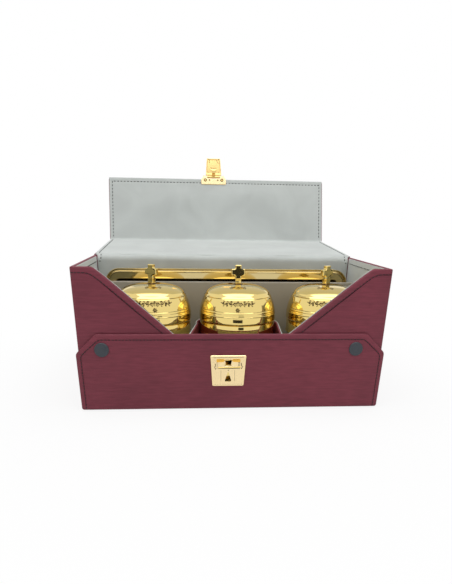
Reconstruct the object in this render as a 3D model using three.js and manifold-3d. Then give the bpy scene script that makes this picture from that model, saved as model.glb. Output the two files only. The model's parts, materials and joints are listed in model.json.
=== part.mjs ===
// A lined case of leather-covered boards, open, with three gold oil vessels and a gold tray.
// Millimetres. +X right, +Y to the back, +Z up. The origin is the middle of the case's underside.
import * as THREE from 'three';
import { mergeVertices } from 'three/addons/utils/BufferGeometryUtils.js';
import Module from 'manifold-3d';

const wasm = await Module();
wasm.setup();

// Case
const CASE_W = 300;
const CASE_D = 130;
const CASE_H = 140;
const BOARD = 4;
const LINING = 1;
const LINING_DROP = 1;
const SEAT_GAP = 0.3;

// How far solids run into each other before they are joined, and cutters run past a face
const BITE = 1;

// Front wings: how far each one's slanted edge is from the case's side at the top and at the flap's height
const WING_SIDES = [
  { name: 'left', side: -1, topInset: 19.2, lowInset: 91.6 },
  { name: 'right', side: 1, topInset: 18, lowInset: 95 },
];
const WING_LOW_Z = 76;
const WING_INNER_EDGE = 30;
const WING_LINING_INSET = 2;
const SILL_H = 12;

// Inside
const TRAY_ROOM = 30;
const PARTITION_T = 3.5;
const PARTITION_H = 110;
const CRADLE_T = 1.5;
const CRADLE_SUEDE_T = 0.7;
const CRADLE_CLEARANCE = 1.6;
const CRADLE_BACK_Z = 78;
const CRADLE_FRONT_Z = 72.5;
const CRADLE_HUG = 5;
const CRADLE_LEFT_SPLAY = 9.4;
const CRADLE_RIGHT_SPLAY = -1.8;

// Lid
const LID_OVERHANG = 2;
const LID_BOARD = 3;
const LID_HINGE_Y = CASE_D / 2 + 1;
const LID_HINGE_Z = CASE_H + 1;
const LID_LIFT = 0.5;
const LID_STANDOFF = 10.2;
const LID_REST_DEG = 3.8;
const HINGE_ROLL_R = 1.1;
const LID_NEAR_END = 2;
const LID_EDGE_OVERLAP = 0.7;
const FRONT_REST_DEG = 73;
const FOLD_GAP = 4.4;
const FOLD_ROLL_R = 1.3;
const FOLD_STRIP_T = 1.2;
const LINING_INSET = 1.5;
const CORNER_R = 3;
const HINGE_CORNER_R = 0.5;

// Flap
const FLAP_OVERHANG = 1.5;
const FLAP_H = 77.5;
const FLAP_BOARD = 2.2;
const FLAP_LINING = 0.8;
const FLAP_CHAMFER = 19;
const FLAP_FOOT = 0.3;
const FLAP_GAP = 0.3;
const FLAP_CORNER_R = 4;
const FLAP_TOP_R = 1;

// Snaps
const SNAP_INSETS = { left: 22.3, right: 27.4 };
const SNAP_Z = 62.6;
const SNAP_CAP_R = 7;
const SNAP_CAP_T = 1.6;
const SNAP_SOCKET_R = 5;
const SNAP_STUD_R = 2.4;
const SNAP_STUD_L = 1.6;
const SNAP_CLEARANCE = 0.6;
const SNAP_FACE_T = 0.6;

// Lock
const LOCK_X = -5.2;
const LOCK_BOTTOM_Z = 25;
const LOCK_H = 31.8;
const LOCK_TOP_W = 36.1;
const LOCK_BOTTOM_W = 31.8;
const LOCK_T = 2;
const LOCK_CORNER_R = 2.2;
const SLOT_W = 24.8;
const SLOT_H = 10.3;
const SLOT_Z = 48.5;
const KEY_TOP_Z = 39.8;
const KEY_H = 10;
const KEY_W = 6.1;
const KEY_TOP_W = 1.2;
const LOCK_CASE_W = 28.4;
const LOCK_CASE_H = 27.2;
const LOCK_CASE_D = 9;
const LOCK_CASE_WALL = 1.2;
const CATCH_W = 25.4;
const CATCH_H = 11;
const CATCH_DROP = 1;
const CATCH_T = 1.2;
const CATCH_TRAVEL = 2;
const CATCH_HOLE_H = 5.7;
const CATCH_HOLE_DROP = 1.2;
const CATCH_HOLE_TOP_W = 6.8;
const CATCH_HOLE_BOTTOM_W = 5.6;
const SPRING_R = 1.5;
const SPRING_WIRE_R = 0.3;
const SPRING_TURNS = 3;
const SPRING_PITCH = 0.77;
const SPRING_X = LOCK_X - 5;

// Hasp
const HASP_W = 35;
const HASP_BASE_L = 10.8;
const HASP_BASE_T = 0.9;
const HASP_CORNER_R = 2.2;
const HASP_OVERHANG = 3.1;
const HASP_EAR_IN = 9;
const HASP_EAR_OUT = 12;
const KNUCKLE_R = 1.8;
const PIN_R = 0.8;
const PIN_CLEARANCE = 0.3;
const TONGUE_L = 25;
const TONGUE_ROOT_W = 22;
const TONGUE_TIP_W = 19;
const TONGUE_T = 1.2;
const TONGUE_RIM_T = 0.5;
const TONGUE_RIM_W = 1.6;
const TONGUE_RIM_END = 2;
const TONGUE_CORNER_R = 1.2;
const LUG_W = 4.6;
const LUG_H = 3;
const LUG_HOOK = 1.1;
const LUG_HOOK_L = 1.6;
const RIVET_R = 1.5;
const RIVET_HEAD_T = 0.5;
const RIVET_X = 12.2;

// Vessels from left to right: the room on each one's left, and how far its cross is turned
const VESSELS = [
  { name: 'left', room: 23.8, finialTurn: -34 },
  { name: 'middle', room: 8.6, finialTurn: 2 },
  { name: 'right', room: 13.1, finialTurn: 32 },
];
const LAST_ROOM = 3.3;
const BODY_R = 40;
const BODY_WAIST_R = 37.8;
const BODY_WALL = 1.6;
const FOOT_R = 34;
const FOOT_H = 4;
const FOOT_FLARE_H = 4;
const RIDGE_Z = 64.5;
const RIDGE_RISE = 3;
const RIDGE_HALF_H = 0.6;
const RIDGE_PROUD = 0.5;
const LID_SEAT_Z = 77;
const NECK_R = 35.4;
const NECK_H = 6.5;
const CUP_CLEARANCE = 0.4;
const CUP_WALL = 1.2;
const CUP_FLANGE_T = 1.2;
const DOME_R = 40.2;
const DOME_WALL = 1.3;
const DOME_WIDEST_Z = 79;

// The skirt of the dome over its widest ring: how far each point lies in from it, and how high over it
const SKIRT = [
  [0, 0], [0, 2], [0.6, 3.6], [0.1, 4.4], [0.6, 5.2], [0.9, 8.6], [0.7, 9.4], [1.2, 10.2], [2.6, 17],
];
const SKIRT_HOLLOW = [8, 4];
const SKIRT_TUCK = 0.5;
const SHOULDER_R = 34;
const SHOULDER_BEND_R = 34.9;
const SHOULDER_BEND_DROP = 1.4;
const SHOULDER_Z = 103.5;
const DOME_TOP_Z = 114.2;
const DOME_FLAT_R = 5.5;
const COLLAR_R = 5;
const COLLAR_H = 1.9;
const COLLAR_EDGE_H = 0.7;
const COLLAR_TOP_R = 3.6;
const STEM_W = 6;
const CROSS_Z = 125.6;
const CROSS_HALF = 7.1;
const CROSS_ARM_W = 5.2;
const CROSS_ARM_END_W = 6.6;
const CROSS_T = 5;
const SHANK_R = 1.8;
const SHANK_CLEARANCE = 0.3;
const NUT_R = 4.5;
const NUT_T = 3;
const NUT_CLEARANCE = 0.1;
const VESSEL_SEGMENTS = 32;

// Tray
const TRAY_SIDE_ROOM = 7;
const TRAY_HEADROOM = 11.3;
const TRAY_X = 2;
const TRAY_DEPTH = 18;
const TRAY_WALL = 1.2;
const TRAY_FLANGE = 3;
const TRAY_FLARE = 8.5;
const TRAY_CORNER_R = 16;
const TRAY_FLOOR_R = 4;
const TRAY_FROM_PARTITION = 2;

// How much of an inset a 45 degree chamfer takes off its run
const CHAMFER_SHIFT = 2 - Math.SQRT2;

// Places that follow from the sizes
const FRONT_Y = -CASE_D / 2;
const BACK_Y = CASE_D / 2;
const HALF_W = CASE_W / 2;
const INNER_FRONT_Y = FRONT_Y + BOARD;
const INNER_BACK_Y = BACK_Y - BOARD;
const INNER_HALF_W = HALF_W - BOARD;
const FLOOR_Z = BOARD + LINING;
const LINED_FRONT_Y = INNER_FRONT_Y + LINING;
const LINED_BACK_Y = INNER_BACK_Y - LINING;
const LINED_HALF_W = INNER_HALF_W - LINING;
const LINING_TOP_Z = CASE_H - LINING_DROP;
const PARTITION_Y = LINED_BACK_Y - TRAY_ROOM;
const VESSEL_Y = (LINED_FRONT_Y + PARTITION_Y) / 2;
const CRADLE_HUG_Y = VESSEL_Y - CRADLE_HUG;
const LID_W = (HALF_W + LID_OVERHANG) * 2;
const LID_REACH = LID_HINGE_Y - FRONT_Y + LID_STANDOFF;
const FLAP_W = (HALF_W + FLAP_OVERHANG) * 2;
const TRAY_L = (LINED_HALF_W - TRAY_SIDE_ROOM) * 2;
const TRAY_W = CASE_H - FLOOR_Z - SEAT_GAP - TRAY_HEADROOM;
const FLAP_BACK_Y = FRONT_Y - FLAP_GAP;
const FLAP_LINING_Y = FLAP_BACK_Y - FLAP_LINING;
const FLAP_FRONT_Y = FLAP_LINING_Y - FLAP_BOARD;
const LOCK_FRONT_Y = FLAP_FRONT_Y - LOCK_T;
const FRONT_BOARD_T = LID_BOARD;
const LOCK_TOP_Z = LOCK_BOTTOM_Z + LOCK_H;
const HASP_FACE = FRONT_BOARD_T + SEAT_GAP;
const HASP_TOP = HASP_FACE + HASP_BASE_T;
const CLOSED_FOLD_Z = LID_HINGE_Z - LID_LIFT + LID_BOARD + LINING;
const FRONT_BOARD_L = CLOSED_FOLD_Z - LOCK_TOP_Z + LID_EDGE_OVERLAP;

const MATERIALS = {
  leather: { color: 0x6e3540, roughness: 0.62, metalness: 0 },
  suede: { color: 0xb4bbb8, roughness: 0.95, metalness: 0 },
  gold: { color: 0xe8c766, roughness: 0.12, metalness: 1 },
  snap: { color: 0x3a434c, roughness: 0.35, metalness: 0.3 },
  steel: { color: 0x9a9a98, roughness: 0.35, metalness: 1 },
};

// Geometry helpers

// Merges shared corners, drops triangles with no area and turns the faces outward.
function solid(geometry) {
  const bare = geometry.clone();
  bare.deleteAttribute('normal');
  bare.deleteAttribute('uv');
  const merged = mergeVertices(bare, 1e-4);
  const kept = [];
  let volume = 0;
  const index = merged.index.array;
  const [a, b, c] = [new THREE.Vector3(), new THREE.Vector3(), new THREE.Vector3()];
  for (let i = 0; i < index.length; i += 3) {
    const [i0, i1, i2] = [index[i], index[i + 1], index[i + 2]];
    if (i0 === i1 || i1 === i2 || i2 === i0) continue;
    kept.push(i0, i1, i2);
    a.fromBufferAttribute(merged.attributes.position, i0);
    b.fromBufferAttribute(merged.attributes.position, i1);
    c.fromBufferAttribute(merged.attributes.position, i2);
    volume += a.dot(b.cross(c));
  }
  merged.setIndex(volume < 0 ? kept.reverse() : kept);
  merged.computeVertexNormals();
  return merged;
}

function toManifold(geometry) {
  const closed = solid(geometry);
  return new wasm.Manifold(new wasm.Mesh({
    numProp: 3,
    vertProperties: new Float32Array(closed.attributes.position.array),
    triVerts: new Uint32Array(closed.index.array),
  }));
}

function fromManifold(manifold) {
  const mesh = manifold.getMesh();
  const geometry = new THREE.BufferGeometry();
  geometry.setAttribute('position', new THREE.BufferAttribute(mesh.vertProperties, 3));
  geometry.setIndex(new THREE.BufferAttribute(mesh.triVerts, 1));
  return geometry;
}

function join(...geometries) {
  return fromManifold(geometries.map(toManifold).reduce((sum, next) => sum.add(next)));
}

function cut(geometry, ...tools) {
  const start = toManifold(geometry);
  return fromManifold(tools.map(toManifold).reduce((rest, tool) => rest.subtract(tool), start));
}

// A box from its low and high limits on each axis.
function box([x0, x1], [y0, y1], [z0, z1]) {
  const geometry = new THREE.BoxGeometry(x1 - x0, y1 - y0, z1 - z0);
  geometry.translate((x0 + x1) / 2, (y0 + y1) / 2, (z0 + z1) / 2);
  return geometry;
}

// Two limits in rising order.
function span(a, b) {
  return [Math.min(a, b), Math.max(a, b)];
}

function shapeOf(points) {
  return new THREE.Shape(points.map(([u, v]) => new THREE.Vector2(u, v)));
}

function thickShape(shape, thickness, curveSegments = 5) {
  return new THREE.ExtrudeGeometry(shape, { depth: thickness, bevelEnabled: false, curveSegments });
}

// A plate that stands in the x-z plane, from its back face at yBack to its front face at yFront.
function uprightPlate(shape, yBack, yFront) {
  const geometry = thickShape(shape, yBack - yFront);
  geometry.rotateX(Math.PI / 2);
  geometry.translate(0, yBack, 0);
  return geometry;
}

// A plate that lies in the x-y plane, from z0 up to z1.
function flatPlate(shape, z0, z1) {
  const geometry = thickShape(shape, z1 - z0);
  geometry.translate(0, 0, z0);
  return geometry;
}

// A rectangle, or a trapezoid with another width at its top, with rounded corners.
function roundedOutline({ bottomW, topW = bottomW, v0, v1, bottomR = 0, topR = 0, u = 0 }) {
  const corners = [
    [u - bottomW / 2, v0, bottomR],
    [u + bottomW / 2, v0, bottomR],
    [u + topW / 2, v1, topR],
    [u - topW / 2, v1, topR],
  ];
  return roundCorners(corners);
}

// A closed outline through corners given as [u, v, radius].
function roundCorners(corners) {
  const shape = new THREE.Shape();
  corners.forEach(([u, v, r], i) => {
    const before = corners[(i + corners.length - 1) % corners.length];
    const after = corners[(i + 1) % corners.length];
    const corner = new THREE.Vector2(u, v);
    const start = new THREE.Vector2(before[0], before[1]).sub(corner).setLength(r).add(corner);
    const end = new THREE.Vector2(after[0], after[1]).sub(corner).setLength(r).add(corner);
    if (i === 0) shape.moveTo(start.x, start.y);
    else shape.lineTo(start.x, start.y);
    if (r > 0) shape.quadraticCurveTo(u, v, end.x, end.y);
  });
  shape.closePath();
  return shape;
}

// A solid of revolution about the vertical axis, from a profile of [radius, height] points.
function turned(profile, segments) {
  const points = profile.map(([r, z]) => new THREE.Vector2(r, z));
  const geometry = new THREE.LatheGeometry(points, segments);
  geometry.rotateX(Math.PI / 2);
  return geometry;
}

function cylinder(radius, length, segments = 24) {
  return new THREE.CylinderGeometry(radius, radius, length, segments);
}

// A cylinder along x.
function bar(radius, x0, x1, y, z, segments = 20) {
  const geometry = cylinder(radius, x1 - x0, segments);
  geometry.rotateZ(Math.PI / 2);
  geometry.translate((x0 + x1) / 2, y, z);
  return geometry;
}

// A cylinder along y.
function stud(radius, y0, y1, x, z, segments = 24) {
  const geometry = cylinder(radius, y1 - y0, segments);
  geometry.translate(x, (y0 + y1) / 2, z);
  return geometry;
}

// A closed skin over rings of points that all have the same number of points, with fans over both ends.
function loft(rings) {
  const count = rings[0].length;
  const points = rings.flat();
  const centre = (ring) => ring.reduce((sum, p) => sum.add(p), new THREE.Vector3()).divideScalar(count);
  const index = [];
  for (let k = 0; k < rings.length - 1; k += 1) {
    for (let i = 0; i < count; i += 1) {
      const next = (i + 1) % count;
      const [a, b] = [k * count + i, k * count + next];
      index.push(a, b, b + count, a, b + count, a + count);
    }
  }
  const first = points.push(centre(rings[0])) - 1;
  const last = points.push(centre(rings[rings.length - 1])) - 1;
  const lastRing = (rings.length - 1) * count;
  for (let i = 0; i < count; i += 1) {
    const next = (i + 1) % count;
    index.push(first, next, i, last, lastRing + i, lastRing + next);
  }
  const geometry = new THREE.BufferGeometry().setFromPoints(points);
  geometry.setIndex(index);
  return geometry;
}

// Scene helpers

const model = new THREE.Group();

function add(parent, name, materialName, geometry) {
  const material = new THREE.MeshStandardMaterial(MATERIALS[materialName]);
  const mesh = new THREE.Mesh(solid(geometry), material);
  mesh.name = name;
  parent.add(mesh);
  return mesh;
}

// Case walls and their linings

function snapX(wing) {
  return (HALF_W - SNAP_INSETS[wing.name]) * wing.side;
}

function wingEdgeX(wing, z) {
  const slope = (wing.lowInset - wing.topInset) / (CASE_H - WING_LOW_Z);
  return HALF_W - wing.lowInset + slope * (z - WING_LOW_Z);
}

function wingEdgeZ(wing, x) {
  const slope = (wing.lowInset - wing.topInset) / (CASE_H - WING_LOW_Z);
  return WING_LOW_Z + (x - HALF_W + wing.lowInset) / slope;
}

function wingOutline(wing, outerX, bottomZ, topZ, inset) {
  const innerX = WING_INNER_EDGE + inset;
  const points = [
    [outerX, bottomZ],
    [innerX, bottomZ],
    [innerX, wingEdgeZ(wing, innerX - inset)],
    [wingEdgeX(wing, topZ) + inset, topZ],
    [outerX, topZ],
  ];
  return shapeOf(points.map(([x, z]) => [x * wing.side, z]));
}

function buildCase() {
  add(model, 'base_panel', 'leather',
    box([-INNER_HALF_W, INNER_HALF_W], [INNER_FRONT_Y, INNER_BACK_Y], [0, BOARD]));
  add(model, 'back_panel', 'leather', box([-HALF_W, HALF_W], [INNER_BACK_Y, BACK_Y], [0, CASE_H]));
  add(model, 'front_sill', 'leather',
    box([-WING_INNER_EDGE, WING_INNER_EDGE], [FRONT_Y, INNER_FRONT_Y], [0, SILL_H]));
  add(model, 'lining_base', 'suede',
    box([-INNER_HALF_W, INNER_HALF_W], [INNER_FRONT_Y, INNER_BACK_Y], [BOARD, FLOOR_Z]));
  add(model, 'lining_back', 'suede',
    box([-INNER_HALF_W, INNER_HALF_W], [LINED_BACK_Y, INNER_BACK_Y], [FLOOR_Z, LINING_TOP_Z]));

  for (const wing of WING_SIDES) {
    const outer = HALF_W * wing.side;
    const inner = INNER_HALF_W * wing.side;
    const lined = LINED_HALF_W * wing.side;
    add(model, `side_panel_${wing.name}`, 'leather',
      box(span(outer, inner), [INNER_FRONT_Y, INNER_BACK_Y], [0, CASE_H]));
    add(model, `lining_side_${wing.name}`, 'suede',
      box(span(inner, lined), [LINED_FRONT_Y, LINED_BACK_Y], [FLOOR_Z, LINING_TOP_Z]));
    add(model, `front_wing_${wing.name}`, 'leather',
      uprightPlate(wingOutline(wing, HALF_W, 0, CASE_H, 0), INNER_FRONT_Y, FRONT_Y));
    add(model, `lining_wing_${wing.name}`, 'suede',
      uprightPlate(wingOutline(wing, INNER_HALF_W, FLOOR_Z, LINING_TOP_Z, WING_LINING_INSET),
        LINED_FRONT_Y, INNER_FRONT_Y));
    add(model, `snap_stud_${wing.name}`, 'steel',
      stud(SNAP_STUD_R, FRONT_Y - SNAP_STUD_L, FRONT_Y, snapX(wing), SNAP_Z));
  }
  add(model, 'partition', 'suede',
    box([-LINED_HALF_W, LINED_HALF_W], [PARTITION_Y, PARTITION_Y + PARTITION_T],
      [FLOOR_Z, FLOOR_Z + PARTITION_H]));
  add(model, 'lid_hinge_roll', 'leather',
    bar(HINGE_ROLL_R, -HALF_W, HALF_W, LID_HINGE_Y, LID_HINGE_Z, 16));
}

// Where a vessel stands: the rooms beside the vessels share whatever width the vessels leave.
function vesselX(index) {
  const rooms = VESSELS.map((vessel) => vessel.room);
  const allRooms = rooms.reduce((sum, room) => sum + room, LAST_ROOM);
  const roomsBefore = rooms.slice(0, index + 1).reduce((sum, room) => sum + room, 0);
  const scale = (LINED_HALF_W - VESSELS.length * DOME_R) * 2 / allRooms;
  return roomsBefore * scale + (index * 2 + 1) * DOME_R - LINED_HALF_W;
}

// The divider that wraps the middle vessel, as a path in plan with a normal at each point.
function cradlePath() {
  const centreX = vesselX(1);
  const radius = DOME_R + CRADLE_CLEARANCE;
  const startAngle = Math.asin((CRADLE_HUG_Y - VESSEL_Y) / radius);
  const path = [];
  const arcSteps = 24;
  for (let i = 0; i <= arcSteps; i += 1) {
    const angle = startAngle + (i / arcSteps) * (Math.PI - 2 * startAngle);
    const [across, back] = [radius * Math.cos(angle), radius * Math.sin(angle)];
    path.push(new THREE.Vector2(centreX + across, VESSEL_Y + back));
  }
  const endY = LINED_FRONT_Y + SEAT_GAP;
  path.unshift(new THREE.Vector2(path[0].x + CRADLE_RIGHT_SPLAY, endY));
  path.push(new THREE.Vector2(path[path.length - 1].x - CRADLE_LEFT_SPLAY, endY));
  return path;
}

// Moves each point of a path outward, away from the vessel inside it.
function offsetPath(path, distance) {
  return path.map((point, i) => {
    const before = path[Math.max(i - 1, 0)];
    const after = path[Math.min(i + 1, path.length - 1)];
    const along = after.clone().sub(before).normalize();
    return new THREE.Vector2(point.x + along.y * distance, point.y - along.x * distance);
  });
}

function cradleSkin(inside, outside) {
  const path = cradlePath();
  const frontY = LINED_FRONT_Y + SEAT_GAP;
  const level = (offset) => offsetPath(path, offset).map((p) => [p.x, Math.max(p.y, frontY)]);
  const outline = shapeOf([...level(inside), ...level(outside).reverse()]);
  const skin = flatPlate(outline, FLOOR_Z, CRADLE_BACK_Z);
  const slope = shapeOf([
    [LINED_FRONT_Y - BOARD, CRADLE_FRONT_Z],
    [CRADLE_HUG_Y, CRADLE_BACK_Z],
    [CRADLE_HUG_Y, CRADLE_BACK_Z + BOARD],
    [LINED_FRONT_Y - BOARD, CRADLE_BACK_Z + BOARD],
  ]);
  const wedge = thickShape(slope, CASE_W);
  wedge.rotateX(Math.PI / 2);
  wedge.rotateZ(Math.PI / 2);
  wedge.translate(-HALF_W, 0, 0);
  return cut(skin, wedge);
}

function buildCradle() {
  add(model, 'divider_wall', 'leather', cradleSkin(0, CRADLE_T));
  const suedeStart = CRADLE_T + SEAT_GAP;
  add(model, 'divider_suede', 'suede', cradleSkin(suedeStart, suedeStart + CRADLE_SUEDE_T));
}

// Lid: in each group y runs along the board, away from its hinge, and z points to the lining's side

function lidBoard(w, y0, y1, z0, z1, inset = 0) {
  const outline = roundedOutline({
    bottomW: w - inset * 2, v0: y0, v1: y1 - inset, bottomR: HINGE_CORNER_R, topR: CORNER_R,
  });
  return flatPlate(outline, z0, z1);
}

function buildLid() {
  const lidTop = new THREE.Group();
  lidTop.position.set(0, LID_HINGE_Y, LID_HINGE_Z);
  lidTop.rotation.x = THREE.MathUtils.degToRad(LID_REST_DEG);
  model.add(lidTop);

  const liningTop = LID_LIFT;
  const boardTop = liningTop - LINING;
  const boardBottom = boardTop - LID_BOARD;
  add(lidTop, 'lid_top_panel', 'leather',
    lidBoard(LID_W, LID_NEAR_END, LID_REACH - FOLD_GAP, boardBottom, boardTop));
  add(lidTop, 'lid_top_lining', 'suede',
    lidBoard(LID_W, LID_NEAR_END, LID_REACH - FOLD_GAP, boardTop + SEAT_GAP, liningTop, LINING_INSET));

  const lidFront = new THREE.Group();
  lidFront.position.set(0, LID_REACH, boardBottom);
  lidFront.rotation.x = THREE.MathUtils.degToRad(FRONT_REST_DEG - LID_REST_DEG);
  lidTop.add(lidFront);
  add(lidTop, 'lid_fold_roll', 'leather', join(
    bar(FOLD_ROLL_R, -HALF_W, HALF_W, LID_REACH, boardBottom, 12),
    box([-HALF_W, HALF_W], [LID_REACH - FOLD_GAP + SEAT_GAP, LID_REACH],
      [boardBottom, boardBottom + FOLD_STRIP_T])));

  const nearEnd = FOLD_ROLL_R + SEAT_GAP;
  const frontLining = FRONT_BOARD_T - LINING;
  add(lidFront, 'lid_front_panel', 'leather', lidBoard(LID_W, nearEnd, FRONT_BOARD_L, 0, frontLining));
  add(lidFront, 'lid_front_lining', 'suede',
    lidBoard(LID_W, nearEnd, FRONT_BOARD_L, frontLining + SEAT_GAP, FRONT_BOARD_T, LINING_INSET));
  buildHasp(lidFront);
}

// The hasp's base plate sits on the lining, and its knuckles hang over the board's free edge.
function buildHasp(lidFront) {
  const pinY = FRONT_BOARD_L + HASP_OVERHANG;
  const pinZ = HASP_TOP - KNUCKLE_R;
  const baseStart = pinY - HASP_BASE_L;
  const midY = baseStart + HASP_BASE_L - HASP_OVERHANG - KNUCKLE_R;
  const plate = flatPlate(roundedOutline({
    bottomW: HASP_W, v0: baseStart, v1: midY + KNUCKLE_R + SEAT_GAP,
    bottomR: HASP_CORNER_R, topR: HASP_CORNER_R, u: LOCK_X,
  }), HASP_FACE, HASP_TOP);
  const ears = [-1, 1].flatMap((side) => {
    const [x0, x1] = span(HASP_EAR_IN * side, HASP_EAR_OUT * side);
    return [
      box([LOCK_X + x0, LOCK_X + x1], [midY, pinY], [HASP_FACE, HASP_TOP]),
      bar(KNUCKLE_R, LOCK_X + x0, LOCK_X + x1, pinY, pinZ),
    ];
  });
  const pinHole = bar(PIN_R + PIN_CLEARANCE, LOCK_X - HASP_W / 2, LOCK_X + HASP_W / 2, pinY, pinZ);
  const holeR = RIVET_R + PIN_CLEARANCE;
  const rivetHoles = [-1, 1].map((side) => rivet(side, baseStart, FRONT_BOARD_T, holeR, BITE));
  add(lidFront, 'hasp_base_plate', 'gold', cut(join(plate, ...ears), pinHole, ...rivetHoles));
  add(lidFront, 'hasp_pin', 'gold', bar(PIN_R, LOCK_X - HASP_EAR_OUT, LOCK_X + HASP_EAR_OUT, pinY, pinZ));
  for (const [side, name] of [[-1, 'left'], [1, 'right']]) {
    add(lidFront, `hasp_rivet_${name}`, 'gold', rivet(side, baseStart, HASP_FACE, RIVET_R, RIVET_HEAD_T));
  }
  buildTongue(lidFront, pinY, pinZ);
}

// A rivet, or the cutter of its hole, from z0 to headHeight over the plate.
function rivet(side, baseStart, z0, radius, headHeight) {
  const top = HASP_TOP + headHeight;
  const geometry = cylinder(radius, top - z0, 16);
  geometry.rotateX(Math.PI / 2);
  geometry.translate(LOCK_X + RIVET_X * side, baseStart + HASP_BASE_L / 2 - KNUCKLE_R, (top + z0) / 2);
  return geometry;
}

function buildTongue(lidFront, pinY, pinZ) {
  const knuckleX = HASP_EAR_IN - PIN_CLEARANCE;
  const plateTop = pinZ + KNUCKLE_R - TONGUE_RIM_T;
  const plateBottom = plateTop - TONGUE_T;
  const wideStart = KNUCKLE_R + SEAT_GAP;
  const barrel = bar(KNUCKLE_R, LOCK_X - knuckleX, LOCK_X + knuckleX, 0, pinZ);
  const neck = box([LOCK_X - knuckleX, LOCK_X + knuckleX], [0, wideStart + BITE], [plateBottom, plateTop]);
  const blade = flatPlate(roundedOutline({
    bottomW: TONGUE_ROOT_W, topW: TONGUE_TIP_W, v0: wideStart, v1: TONGUE_L,
    bottomR: TONGUE_CORNER_R, topR: TONGUE_CORNER_R, u: LOCK_X,
  }), plateBottom, plateTop);
  const rims = [-1, 1].map((side) => {
    const outline = shapeOf([
      [LOCK_X + side * TONGUE_ROOT_W / 2, wideStart + BITE],
      [LOCK_X + side * (TONGUE_ROOT_W / 2 - TONGUE_RIM_W), wideStart + BITE],
      [LOCK_X + side * (TONGUE_TIP_W / 2 - TONGUE_RIM_W), TONGUE_L - TONGUE_RIM_END],
      [LOCK_X + side * TONGUE_TIP_W / 2, TONGUE_L - TONGUE_RIM_END],
    ]);
    return flatPlate(outline, plateBottom, plateTop + TONGUE_RIM_T);
  });

  // Closed, the lug points into the slot, so its height along the tongue follows the catch plate's hole.
  const lugTop = CLOSED_FOLD_Z - (catchHoleTop() - CATCH_TRAVEL - SEAT_GAP) - pinY;
  const lugReach = closedDepth(catchBackY() + SEAT_GAP) + LUG_HOOK_L;
  const lugX = [LOCK_X - LUG_W / 2, LOCK_X + LUG_W / 2];
  const lug = box(lugX, [lugTop, lugTop + LUG_H], [plateTop - TONGUE_T / 2, lugReach]);
  const hookEnd = lugTop + LUG_H + LUG_HOOK;
  const hook = box(lugX, [lugTop + LUG_HOOK, hookEnd], [lugReach - LUG_HOOK_L, lugReach]);
  const tongue = cut(join(barrel, neck, blade, ...rims, lug, hook),
    bar(PIN_R + PIN_CLEARANCE, LOCK_X - HASP_W, LOCK_X + HASP_W, 0, pinZ));
  add(lidFront, 'hasp_tongue', 'gold', tongue).position.y = pinY;
}

// How far a plane y of the case lies from the fold's axis on the lining's side when the lid is closed.
function closedDepth(y) {
  return y - (LID_HINGE_Y - LID_REACH);
}

// Flap with its snaps and lock

function flapOutline(inset) {
  const half = FLAP_W / 2 - inset;
  const low = FLAP_FOOT + inset;
  const top = FLAP_FOOT + FLAP_H - inset;
  const run = FLAP_CHAMFER - inset * CHAMFER_SHIFT;
  return roundCorners([
    [-half, low, FLAP_CORNER_R],
    [half, low, FLAP_CORNER_R],
    [half, top - run, FLAP_TOP_R],
    [half - run, top, FLAP_TOP_R],
    [-half + run, top, FLAP_TOP_R],
    [-half, top - run, FLAP_TOP_R],
  ]);
}

function catchBottomZ() {
  return SLOT_Z - CATCH_H / 2 - CATCH_DROP;
}

function catchHoleTop() {
  return SLOT_Z + SLOT_H / 2 - CATCH_HOLE_DROP;
}

function catchFrontY() {
  return FLAP_FRONT_Y + SEAT_GAP;
}

function catchBackY() {
  return catchFrontY() + CATCH_T;
}

function buildFlap() {
  const caseBottomZ = LOCK_BOTTOM_Z + (LOCK_H - LOCK_CASE_H) / 2;
  const caseTopZ = caseBottomZ + LOCK_CASE_H;
  const window = box([LOCK_X - LOCK_CASE_W / 2 - SEAT_GAP, LOCK_X + LOCK_CASE_W / 2 + SEAT_GAP],
    [FLAP_FRONT_Y - BITE, FLAP_BACK_Y + BITE], [caseBottomZ - SEAT_GAP, caseTopZ + SEAT_GAP]);
  const socketHoles = WING_SIDES.map((wing) =>
    stud(SNAP_SOCKET_R + SEAT_GAP, FLAP_LINING_Y, FLAP_BACK_Y + BITE, snapX(wing), SNAP_Z));
  const socketPockets = WING_SIDES.map((wing) =>
    stud(SNAP_SOCKET_R + SEAT_GAP, FLAP_FRONT_Y + SNAP_FACE_T, FLAP_LINING_Y + BITE,
      snapX(wing), SNAP_Z));

  add(model, 'flap_panel', 'leather',
    cut(uprightPlate(flapOutline(0), FLAP_LINING_Y, FLAP_FRONT_Y), window, ...socketPockets));
  add(model, 'flap_lining', 'suede',
    cut(uprightPlate(flapOutline(LINING_INSET), FLAP_BACK_Y, FLAP_LINING_Y), window, ...socketHoles));

  for (const wing of WING_SIDES) {
    const x = snapX(wing);
    const cap = turned([
      [0, 0], [SNAP_CAP_R, 0], [SNAP_CAP_R, SNAP_CAP_T * 0.4], [SNAP_CAP_R * 0.86, SNAP_CAP_T * 0.85],
      [SNAP_CAP_R * 0.5, SNAP_CAP_T], [0, SNAP_CAP_T],
    ], 28);
    cap.rotateX(Math.PI / 2);
    cap.translate(x, FLAP_FRONT_Y, SNAP_Z);
    add(model, `snap_cap_${wing.name}`, 'snap', cap);
    const socketFront = FLAP_FRONT_Y + SNAP_FACE_T + SEAT_GAP;
    add(model, `snap_socket_${wing.name}`, 'steel', cut(
      stud(SNAP_SOCKET_R, socketFront, FLAP_BACK_Y, x, SNAP_Z),
      stud(SNAP_STUD_R + SNAP_CLEARANCE, FRONT_Y - SNAP_STUD_L - SEAT_GAP, FLAP_BACK_Y + BITE, x, SNAP_Z)));
  }
  buildLock(caseBottomZ, caseTopZ);
}

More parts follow.
